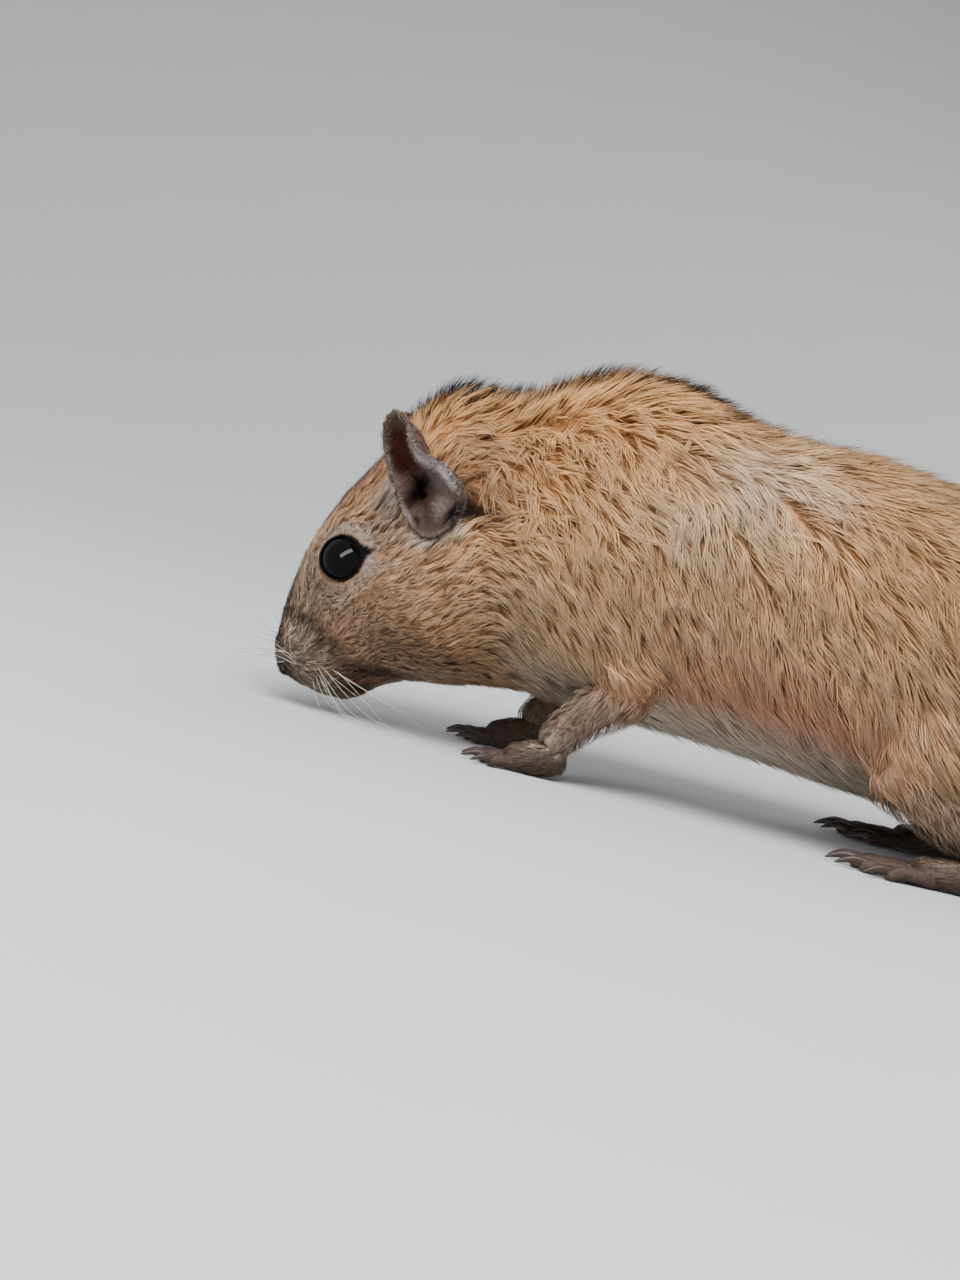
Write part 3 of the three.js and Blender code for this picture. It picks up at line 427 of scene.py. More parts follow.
@dataclass
class Chart:
    """A closed tube of skin as a grid: rows run along it, columns go round it."""

    name: str
    skin: Array
    normal: Array
    fields: dict[str, Array] = field(default_factory=dict)

    def __post_init__(self) -> None:
        """Works out the steps of the grid along and round, as central differences."""
        self.fields["skin"] = self.skin
        self.fields["normal"] = self.normal
        self.fields["along"] = np.gradient(self.skin, axis=0)
        self.fields["round"] = round_step(self.skin)

    def read(self, name: str, v: Array, u: Array) -> Array:
        """A field at rows v and columns u, by straight-line mixing of the four nearest grid points.

        Places past the last row go straight on from it, so that hair can hang over the end.
        """
        grid = self.fields[name]
        rows, columns = grid.shape[:2]
        if name == "skin" and (v > rows - 1).any():
            over = np.maximum(v - (rows - 1.0001), 0)[:, None]
            return self.read(name, np.minimum(v, rows - 1.0001), u) + self.read("along", v, u) * over
        v = np.clip(v, 0, rows - 1.0001)
        row, column = v.astype(int), np.floor(u).astype(int)
        fv, fu = v - row, u - column
        left, right = column % columns, (column + 1) % columns
        if grid.ndim == 3:
            fv, fu = fv[..., None], fu[..., None]
        near = grid[row, left] * (1 - fu) + grid[row, right] * fu
        far = grid[row + 1, left] * (1 - fu) + grid[row + 1, right] * fu
        return near * (1 - fv) + far * fv

    def scatter(self, seed: int, rows_used: tuple[int, int] | None = None) -> tuple[Array, Array]:
        """Evenly spread places, one for each square of the local tuft spacing.

        Two sequences of even steps are carried through the running sums of area over spacing squared,
        first along the rows and then round the row that each falls in.

        Args:
            seed: of the small random shift that hides the pattern.
            rows_used: first and last row to fill, or None for all.

        Returns:
            Rows and columns, with fractions.
        """
        corner = np.linalg.norm(np.cross(self.fields["along"], self.fields["round"]), axis=-1)
        weight = corner / self.fields["spacing"] ** 2 * self.fields["cover"]
        weight = (weight[:-1] + weight[1:]) / 2
        if rows_used:
            weight[:rows_used[0]] = 0
            weight[rows_used[1]:] = 0
        weight += 1e-9
        rows, columns = weight.shape
        count = int(weight.sum())
        steps = np.arange(count) + 0.5
        first, second = ((steps * step) % 1 for step in SPREAD_STEPS)
        row_sum = np.concatenate([[0], np.cumsum(weight.sum(1))])
        target = first * row_sum[-1]
        row = np.clip(np.searchsorted(row_sum, target, side="right") - 1, 0, rows - 1)
        v = row + (target - row_sum[row]) / (row_sum[row + 1] - row_sum[row])
        share = np.cumsum(weight, 1) / weight.sum(1, keepdims=True)
        flat = (share + np.arange(rows)[:, None]).ravel()
        cell = np.clip(np.searchsorted(flat, row + second), 0, rows * columns - 1)
        start = np.where(cell % columns == 0, row, flat[np.maximum(cell - 1, 0)])
        u = cell % columns + (row + second - start) / np.maximum(flat[cell] - start, 1e-9)
        rng = np.random.default_rng(seed)
        return v + rng.uniform(-0.25, 0.25, count), u + 0.5 + rng.uniform(-0.25, 0.25, count)

    def walk(
        self, v: Array, u: Array, length: Array, swing: Array, steps: int,
    ) -> tuple[Array, Array, Array, Array]:
        """Carries points over the skin along the lie of the coat, in equal steps.

        Each step solves the two-by-two system of the grid's own steps for the wanted move.

        Args:
            v: rows to start from.
            u: columns to start from.
            length: how far to go, for each point.
            swing: by how many radians the hair turns away from the lie.
            steps: how many steps to take.

        Returns:
            Places, normals, directions and sideways vectors, each points x nodes x 3.
        """
        nodes = []
        for _ in range(steps + 1):
            normal = unit(self.read("normal", v, u))
            lie = along_skin(self.read("lie", v, u), normal)
            lie = lie * np.cos(swing)[:, None] + np.cross(normal, lie) * np.sin(swing)[:, None]
            place = self.read("skin", v, u)
            if "over" in self.fields:
                place = place + normal * self.read("over", v, u)[:, None]
            nodes.append((place, normal, lie, np.cross(normal, lie)))
            along, round_ = self.read("along", v, u), self.read("round", v, u)
            move = lie * (length / steps)[:, None]
            aa, ar = (along * along).sum(-1), (along * round_).sum(-1)
            rr = (round_ * round_).sum(-1) + 1e-4
            ma, mr = (move * along).sum(-1), (move * round_).sum(-1)
            det = aa * rr - ar * ar + 1e-9
            v = v + np.clip((ma * rr - mr * ar) / det, -12, 12)
            u = u + np.clip((mr * aa - ma * ar) / det, -12, 12)
        return tuple(np.stack(parts, 1) for parts in zip(*nodes))


def grid_normals(grid: Array) -> Array:
    """Outward normals of a closed tube: along x round, turned away from each ring's middle."""
    normal = unit(np.cross(np.gradient(grid, axis=0), round_step(grid)))
    normal *= np.sign((normal * (grid - grid.mean(1, keepdims=True))).sum())
    for end, inner in ((0, 2), (-1, -3)):
        normal[end] = unit(grid[end].mean(0) - grid[inner].mean(0))
    return normal


def tube_faces(rows: int, columns: int, outwards: bool) -> list[Array]:
    """Quads and pole triangles of a closed tube whose first and last rows are one point each.

    Vertices are the first pole, the rings in between, and the last pole.

    Args:
        rows: rows of the grid, with both poles.
        columns: columns of the grid.
        outwards: whether along x round points outwards.

    Returns:
        Quads, and triangles.
    """
    ring = np.arange(columns)
    after = (ring + 1) % columns
    starts = 1 + columns * np.arange(rows - 3)[:, None]
    a, b = starts + ring, starts + after
    quads = np.stack([a, a + columns, b + columns, b], -1).reshape(-1, 4)
    last = 1 + columns * (rows - 3)
    pole = 1 + columns * (rows - 2)
    first_fan = np.stack([np.zeros(columns, int), 1 + ring, 1 + after], -1)
    last_fan = np.stack([np.full(columns, pole), last + after, last + ring], -1)
    faces = [quads, np.concatenate([first_fan, last_fan])]
    return faces if outwards else [f[:, ::-1] for f in faces]


def eye_shift() -> Array:
    """How far the body frame is moved in the CAD frame, read from the left eye's box."""
    low, high = (np.array(corner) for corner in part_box("eye_left"))
    return (low + high) / 2 / MM - EYE_AT * [1, -1, 1]


SHIFT = eye_shift()


def place_in_scene(points: Array) -> Array:
    """Millimetres of the body frame as metres of the CAD frame."""
    return (points + SHIFT) * MM


def new_object(name: str, points: Array, faces: list[Array]) -> bpy.types.Object:
    """A mesh object from arrays, smooth shaded.

    Args:
        name: of the object.
        points: vertices in millimetres of the body frame.
        faces: arrays of faces, each with its own number of corners.

    Returns:
        The object, at the origin.
    """
    mesh = bpy.data.meshes.new(name)
    place = place_in_scene(points.reshape(-1, 3)).astype(np.float32)
    mesh.vertices.add(len(place))
    mesh.vertices.foreach_set("co", place.ravel())
    corners = np.concatenate([f.ravel() for f in faces]).astype(np.int32)
    sizes = np.concatenate([np.full(len(f), f.shape[1]) for f in faces])
    mesh.loops.add(len(corners))
    mesh.loops.foreach_set("vertex_index", corners)
    mesh.polygons.add(len(sizes))
    mesh.polygons.foreach_set("loop_start", (np.cumsum(sizes) - sizes).astype(np.int32))
    mesh.polygons.foreach_set("use_smooth", np.ones(len(sizes), bool))
    mesh.update(calc_edges=True)
    thing = bpy.data.objects.new(name, mesh)
    bpy.context.scene.collection.objects.link(thing)
    return thing


def add_tubes(name: str, *grids: Array) -> bpy.types.Object:
    """Closed tubes as one object, their end rows drawn into poles.

    Args:
        name: of the object.
        grids: rows by columns by 3, all of one size.

    Returns:
        The object.
    """
    rows, columns = grids[0].shape[:2]
    size = 2 + (rows - 2) * columns
    points, faces = [], [[], []]
    for k, grid in enumerate(grids):
        facing = np.cross(np.gradient(grid, axis=0), round_step(grid))
        outwards = bool((facing * (grid - grid.mean(1, keepdims=True)))[1:-1].sum() > 0)
        points += [grid[0].mean(0)[None], grid[1:-1].reshape(-1, 3), grid[-1].mean(0)[None]]
        for store, part in zip(faces, tube_faces(rows, columns, outwards)):
            store.append(part + k * size)
    return new_object(name, np.concatenate(points), [np.concatenate(part) for part in faces])


def colour_points(mesh: bpy.types.Mesh, colours: Array) -> None:
    """Writes a colour for each vertex into the attribute that the materials read."""
    rows = np.column_stack([colours, np.ones(len(colours))]).astype(np.float32)
    attribute = mesh.color_attributes.new("coat", "FLOAT_COLOR", "POINT")
    attribute.data.foreach_set("color", rows.ravel())


@dataclass
class Trunk:
    """Head and body from nose to tail root, as sections that a cubic runs through.

    ear_sink is how much deeper the skin lies inside the ear's mouth; hair rises as far again over it.
    """

    columns: int = 176
    ear_sink: float = 2.6

    def plain(self, place: Array, turn: Array) -> Array:
        """The bare trunk: superellipse halves above and below the widest line, with round caps."""
        tx, tz, bx, bz, half, widest, peak = np.moveaxis(through(SECTIONS, place), -1, 0)
        up, out = np.cos(2 * np.pi * turn), np.sin(2 * np.pi * turn)
        power = np.where(up > 0, peak, 2.1)
        height = np.abs(up) ** (2 / power)
        side = np.sign(out) * np.abs(out) ** (2 / power)
        mx, mz = bx + widest * (tx - bx), bz + widest * (tz - bz)
        ex, ez = np.where(up > 0, tx, bx), np.where(up > 0, tz, bz)
        share = 1 - np.where(place < 0, -place, np.clip(place - LAST, 0, 1))
        width = np.sin(CAP_TURN * share) / math.sin(CAP_TURN)
        pull = (np.cos(CAP_TURN * share) - math.cos(CAP_TURN)) / (1 - math.cos(CAP_TURN))
        tip_x, tip_z = (np.where(place < 0, NOSE_TIP[k], RUMP_END[k]) for k in (0, 1))
        x = height * (ex - mx) * width + mx + (tip_x - mx) * pull
        z = height * (ez - mz) * width + mz + (tip_z - mz) * pull
        return np.stack([x, half * side * width, z], -1)

    def swelling(self, points: Array) -> Array:
        """Rise of the swellings: each one's height times exp of minus its scaled distance squared."""
        folded = fold(points)
        return sum(rise * np.exp(-(((folded - at) / reach) ** 2).sum(-1)) for at, reach, rise in SWELLINGS)

    def outline(self, place: Array, turn: Array) -> tuple[Array, Array]:
        """Points and normals of the coated outline, as in the CAD."""
        step = 0.01
        inner = np.clip(place, -1 + 2 * step, LAST + 1 - 2 * step)
        along = self.plain(inner + step, turn) - self.plain(inner - step, turn)
        round_ = self.plain(inner, turn + step) - self.plain(inner, turn - step)
        normal = unit(np.cross(along, round_))
        points = self.plain(place, turn)
        return points + normal * self.swelling(points)[..., None], normal

    def groove(self, points: Array, pairs: Array, depth: float, width: float) -> Array:
        """How deep a groove cuts at each point: depth times exp of minus distance over width, squared."""
        spots = through(pairs, np.linspace(0, len(pairs) - 1, 60))
        line, _ = self.outline(spots[:, 0], spots[:, 1])
        folded = fold(points)
        near = np.full(points.shape[:-1], 1e9)
        for spot in line:
            near = np.minimum(near, ((folded - spot) ** 2).sum(-1))
        return depth * np.exp(-near / width**2)

    def chart(self) -> Chart:
        """The skin under the coat, with grooves of mouth and nostrils, and all that steers its hair."""
        turns = np.arange(self.columns) / self.columns
        place, turn = np.meshgrid(TRUNK_PLACES, turns, indexing="ij")
        upwards = np.cos(2 * np.pi * turn)
        outline, normal = self.outline(place, turn)
        depth, length, spacing, width, down, ruffle = (
            np.interp(place, PELAGE[:, 0], PELAGE[:, k]) for k in range(1, 7)
        )
        face = place < FACE_END
        upper = ease(-0.5, 0.7, upwards)
        ruffle = ruffle * np.where(face, 1, upper)
        depth = depth * (0.85 + 0.15 * upper) + 0.5 * ruffle * ease(0.5, 1, upwards)
        cut = np.zeros(place.shape)
        for pairs, deep, wide in ((NOSTRIL, 0.55, 0.34), (MOUTH, 0.42, 0.30), (PHILTRUM, 0.25, 0.24)):
            cut[face] += self.groove(outline[face], pairs, deep, wide)
        in_ear = Ear(1).mouth(outline)
        skin = outline - normal * (depth + cut + self.ear_sink * in_ear)[..., None]
        chart = Chart("trunk", skin, normal)
        along = unit(np.gradient(skin, axis=0))
        fall = np.array([0.0, 0.0, -1.0])
        fall = fall - normal * (normal * fall).sum(-1, keepdims=True)
        slope = down * ease(0.2, 0.9, np.abs(np.sin(2 * np.pi * turn)))
        gap, _, _, height = round_eye(outline)
        by_eye = (height > 0) & (gap < EYE_ZONE)
        lie = self.part_round_eye(unit(along + fall * slope[..., None]), outline, normal, gap)
        short = 1 - 0.66 * by_eye * (1 - ease(2.7, 4.8, gap))
        skin_gap, _, _, skin_height = round_eye(skin)
        bare = (skin_height > -0.5) * (1 - ease(2.95, 3.15, np.maximum(skin_gap, gap)))
        bare = np.clip(bare + eye_corner(skin, 0.1) + cut / 0.3 + 80 * in_ear, 0, 1)
        fringe, pocket, over_pocket = self.marks_by_ear(outline)
        up_and_back = along_skin(np.array([0.45, 0.0, 0.90]), normal)
        lie = unit(lie + (up_and_back - lie) * (0.85 * fringe)[..., None])
        hair = MARKINGS.at(outline, normal)
        hair += (Kind.FRINGE.value.numbers() - hair) * (0.85 * fringe)[..., None]
        lift = 0.8 * np.interp(place, [7, 8.6, 11, 12.5], [0, 1, 0.7, 0]) * ease(0.2, 0.9, upwards)
        skin -= normal * (1.4 * pocket)[..., None]
        skin += normal * lift[..., None]
        chart.fields.update(
            lie=lie, spacing=spacing * (1 - 0.45 * fringe), over=self.ear_sink * in_ear,
            depth=depth * (0.5 + 0.5 * short) * (1 - 0.6 * over_pocket) + 1.2 * fringe,
            length=length * short * (1 - 0.75 * over_pocket) + 1.0 * fringe,
            width=width * (0.6 + 0.4 * short) * (1 - 0.4 * fringe), ruffle=ruffle * (1 - 0.7 * fringe),
            cover=1 - np.maximum(bare, pocket), hair=hair,
        )
        return chart

    def marks_by_ear(self, points: Array) -> tuple[Array, Array, Array]:
        """Soft-edged spots by the ear as seen from the side: exp of minus a power of the scaled distance.

        Args:
            points: places on the outline.

        Returns:
            The pale fringe ahead of the cup, the bare pocket behind it, and the short hair round the pocket.
        """
        side_view = fold(points)[..., [0, 2]]
        by_edge = side_view - [-19.0, 26.3]
        fringe = np.exp(-((by_edge @ [0.80, -0.60] / 2.0) ** 4) - (by_edge @ [0.60, 0.80] / 3.8) ** 4)
        pocket, over_pocket = (
            np.exp(-((((side_view - at) / reach) ** 2).sum(-1)) ** 1.5)
            for at, reach in (([-10.4, 27.2], [1.9, 1.3]), ([-12.4, 27.0], [3.0, 2.4]))
        )
        return fringe * (points[..., 2] > 14), pocket, over_pocket

    def guard_hairs(self, chart: Chart) -> Chart:
        """The short black fringe along the top of nape and hump: the same skin with hair that stands up."""
        full = np.ones(chart.skin.shape[:2])
        x, y, _ = np.moveaxis(chart.skin, -1, 0)
        along = np.interp(x, [-21, -18, 16, 24], [0, 1, 1, 0])
        fringe = Chart("guard", chart.skin, chart.normal)
        fringe.fields.update(
            lie=chart.fields["lie"], spacing=0.52 * full, width=0.045 * full, ruffle=0.6 * full,
            depth=chart.fields["depth"] + np.interp(x, [-8, -2], [0.5, 0.15]),
            length=np.interp(x, [-18, -8, 10], [2.0, 2.6, 3.2]),
            cover=np.exp(-((y / 2.8) ** 4)) * along * (chart.normal[..., 2] > 0.2),
            hair=np.broadcast_to(Kind.GUARD.value.numbers(), (*full.shape, HAIR_NUMBERS)),
        )
        return fringe

    def part_round_eye(self, lie: Array, points: Array, normal: Array, gap: Array) -> Array:
        """Turns hair that would grow over the eye aside, as water flows round a post."""
        side = np.where(points[..., 1:2] < 0, -1.0, 1.0) * [0, 1, 0] + [1, 0, 1]
        outward = (fold(points) - EYE_AT) * side
        outward = along_skin(outward, normal)
        nearness = np.clip((EYE_CLEAR / np.maximum(gap, 0.1)) ** 3, 0, 1.15)
        inwards = np.minimum((lie * outward).sum(-1), 0.0) * nearness
        return unit(lie - outward * (inwards * (gap < EYE_ZONE))[..., None])


def lift_over(chart: Chart, limbs: list[Array]) -> None:
    """Adds the field "over": how far hair must rise to run over limbs that stand out of the trunk.

    Each limb is taken as a chain of ellipsoids along its rows. A line from the skin along its normal leaves
    an ellipsoid at the larger root of a quadratic; the largest of these is the rise, softened at its edge.

    Args:
        chart: the trunk's chart.
        limbs: rows of X, Y, Z, half width, half height and coat depth.
    """
    over = chart.fields["over"].copy()
    for rows in limbs:
        for row in through(rows, np.linspace(0, len(rows) - 1, 16)):
            size = np.array([min(row[3], row[4]), row[3], row[4]]) - row[5]
            start, way = (chart.skin - row[:3]) / size, chart.normal / size
            a, b, c = (way * way).sum(-1), (start * way).sum(-1), (start * start).sum(-1) - 1
            root = b * b - a * c
            over = np.maximum(over, np.where(root > 0, (np.sqrt(np.maximum(root, 0)) - b) / a, 0))
    soft = np.minimum(over, 6.0)
    for _ in range(6):
        soft = (np.roll(soft, 1, 1) + 2 * soft + np.roll(soft, -1, 1)) / 4
        soft[1:-1] = (soft[:-2] + 2 * soft[1:-1] + soft[2:]) / 4
    chart.fields["over"] = soft


@dataclass
class Limb:
    """A round-ended loft along rows of X, Y, Z, half width, half height and coat depth."""

    name: str
    rows: Array
    spacing: float = 0.6
    length: float = 2.2
    width: float = 0.07
    kind: Kind = Kind.FOOT
    kind_share: float = 1.0
    rings: int = 26
    columns: int = 28
    blunt: float = 0.8
    way: tuple[float, float, float] | None = None
    blend: float = 0.0

    def chart(self) -> Chart:
        """The limb's skin and the run of its hair, along the limb from its first row."""
        last = len(self.rows) - 1
        v = np.linspace(-1, last + 1, self.rings + 1)
        cap = np.clip(np.where(v < 0, -v, v - last), 0, 1)
        t = np.clip(v, 0, last)
        rows = through(self.rows, t)
        step = 0.02
        ahead = through(self.rows, np.minimum(t + step, last)) - through(self.rows, np.maximum(t - step, 0))
        ahead = unit(ahead[:, :3])
        across = unit(np.array([0.0, 1.0, 0.0]) - ahead * ahead[:, 1:2])
        upward = np.cross(ahead, across)
        wide, high, depth = rows[:, 3], rows[:, 4], rows[:, 5]
        scale = np.cos(cap * np.pi / 2)
        end = np.minimum(wide, high) - depth
        slide = np.sign(v - last / 2) * self.blunt * end * np.sin(cap * np.pi / 2)
        angle = 2 * np.pi * np.arange(self.columns) / self.columns
        centre = rows[:, :3] + ahead * slide[:, None]
        skin = (
            centre[:, None]
            + across[:, None] * ((wide - depth) * scale)[:, None, None] * np.cos(angle)[None, :, None]
            + upward[:, None] * ((high - depth) * scale)[:, None, None] * np.sin(angle)[None, :, None]
        )
        skin[..., 2] = np.maximum(skin[..., 2], 0.03)
        return self.dressed(skin, np.broadcast_to(depth[:, None], skin.shape[:2]))

    def dressed(self, skin: Array, depth: Array) -> Chart:
        """Adds the fields that steer the hair to a skin grid."""
        normal = grid_normals(skin)
        chart = Chart(self.name, skin, normal)
        along = unit(np.gradient(skin, axis=0))
        if self.way:
            way = np.array(self.way)
            along = unit(way - normal * (normal @ way)[..., None] + 0.1 * along)
        hair = MARKINGS.at(skin, normal)
        growing = ease(-0.1, self.blend, np.linspace(0, 1, len(skin)))[:, None, None] if self.blend else 1.0
        hair = hair + (self.kind.value.numbers() - hair) * self.kind_share * growing
        full = np.ones(skin.shape[:2])
        on_floor = ease(0.05, 0.4, skin[..., 2]) if skin[..., 2].min() < 0.2 else full
        chart.fields.update(
            lie=along, spacing=self.spacing * full, depth=depth + 0.05, length=self.length * full,
            width=self.width * full, ruffle=0 * full, cover=on_floor, hair=hair,
        )
        return chart


@dataclass
class Toes:
    """The digits of one kind of paw and the claws that they carry."""

    root: tuple[float, float, float]
    across: tuple[float, ...]
    length: tuple[float, ...]
    spread: tuple[float, ...]
    radius: float
    claw: float

    def rows(self, k: int, side: int, stride: float) -> tuple[Array, Array]:
        """Loft rows of digit k and of its claw, as in the CAD."""
        turn = math.radians(self.spread[k])
        way = np.array([-math.cos(turn), math.sin(turn) * side])
        start = np.array([self.root[0] + stride, (self.root[1] + self.across[k]) * side])
        long, r = self.length[k], self.radius

        def row(reach: float, z: float, wide: float, high: float, depth: float = 0.08) -> list[float]:
            """One loft row at a distance along the digit."""
            return [*(start + way * reach), z, wide, high, depth]

        digit = [
            row(-1.2, r + 0.2, r * 0.95, r), row(long * 0.45, r + 0.35, r * 0.9, r),
            row(long * 0.9, r * 0.85, r, r * 0.95),
        ]
        tip, claw = long * 0.9, self.claw
        nail = [
            row(tip - 0.3, r * 1.25, r * 0.58, r * 0.66, 0),
            row(tip + claw * 0.55, r * 1.4, r * 0.44, r * 0.55, 0),
            row(tip + claw * 1.05, r * 0.9, r * 0.24, r * 0.32, 0),
            row(tip + claw * 1.3, 0.42, 0.07, 0.08, 0),
        ]
        return np.array(digit), np.array(nail)


FORE_TOES = Toes(
    (2.0, 10.0, 1.1), (-2.1, -0.75, 0.75, 2.0), (2.6, 3.6, 3.7, 2.8),
    (-22, -7, 8, 24), radius=0.72, claw=2.0,
)
HIND_TOES = Toes(
    (49.4, 16.2, 1.1), (-2.6, -1.5, 0.0, 1.5, 2.6), (4.6, 7.6, 8.2, 7.4, 4.4),
    (-16, -6, 1, 8, 20), radius=0.85, claw=2.6,
)


@dataclass
class Tail:
    """The tail drops to the floor and turns towards the right, with thicker hair on its last quarter."""

    root: tuple[float, float, float] = (74.0, 0.0, 13.8)
    length: float = 92.0
    turn: float = math.radians(100)
    drop: float = 26.0
    radii: tuple[float, float, float] = (4.2, 2.9, 2.2)
    thick_end: float = 0.3
    beyond: float = 6.5
    flat: float = 0.25
    columns: int = 28

    def path(self, count: int = 24) -> Array:
        """Rows of X, Y, Z and radius: the heading grows with the 1.3th power of the length gone."""
        f = np.arange(count + 1) / count
        radius = np.interp(f, [0, self.thick_end, 1], self.radii)
        fall = ease(0, 1, f * self.length / self.drop)
        z = self.root[2] + (radius - self.flat - self.root[2]) * fall
        heading = self.turn * f[:-1] ** 1.3
        step = self.length / count
        x = self.root[0] + np.concatenate([[0], np.cumsum(np.cos(heading) * step)])
        y = self.root[1] + np.concatenate([[0], np.cumsum(np.sin(heading) * step)])
        return np.stack([x, y, z, radius], -1)

    def chart(self) -> Chart:
        """The tail's core, flattened a little on the floor, with longer hair towards the tip."""
        rows = self.path()
        onward = unit(rows[-1, :3] - rows[-2, :3])
        extra = [[*(rows[-1, :3] + onward * self.beyond * k / 2), rows[-1, 3]] for k in (1, 2)]
        rows = np.concatenate([rows, extra])
        last = len(rows) - 1
        v = np.linspace(0, last, 170)
        v = np.concatenate([[0, 0.01], v[1:-1], [last - 0.01, last]])
        at = through(rows, v)
        ahead = unit(np.gradient(at[:, :3], axis=0))
        across = unit(np.cross([0.0, 0.0, 1.0], ahead))
        upward = np.cross(ahead, across)
        share = v / (last - 2)
        core = (at[:, 3] - 0.9) * (1 - 0.45 * ease(0.72, 1.0, share)) * (1 - 0.7 * ease(0.97, 1.05, share))
        core[[0, -1]] = 0
        angle = (2 * np.pi * np.arange(self.columns) / self.columns)[:, None]
        ring = across[:, None] * np.cos(angle) + upward[:, None] * np.sin(angle)
        skin = at[:, None, :3] + ring * core[:, None, None]
        skin[..., 2] = np.maximum(skin[..., 2], 0.35)
        normal = grid_normals(skin)
        chart = Chart("tail", skin, normal)
        full = np.ones(skin.shape[:2])
        long = np.interp(share, [0, 0.1, 0.6, 0.75, 0.9, 1.0], [4.5, 3.0, 3.2, 5.0, 8.5, 7.0])[:, None]
        depth = np.interp(share, [0, 0.6, 0.8, 1.0], [1.1, 0.9, 1.6, 2.6])[:, None]
        brush = ease(0.66, 0.86, share)[:, None, None]
        top = ease(-0.2, 0.8, normal[..., 2:3])
        under, over, tip = (kind.value.numbers() for kind in (Kind.BELLY, Kind.TAIL, Kind.BRUSH))
        hair = under + (over - under) * top
        hair = hair + (tip - hair) * brush * (0.6 + 0.4 * top)
        chart.fields.update(
            lie=unit(np.gradient(skin, axis=0)), spacing=0.84 * full - 0.25 * ease(0.7, 0.9, share)[:, None],
            depth=depth * full * ease(0.3, 1.2, skin[..., 2]), length=long * full, width=0.06 * full,
            ruffle=0 * full, cover=ease(0.3, 0.6, skin[..., 2]) * (share < 1.0)[:, None], hair=hair,
        )
        return chart


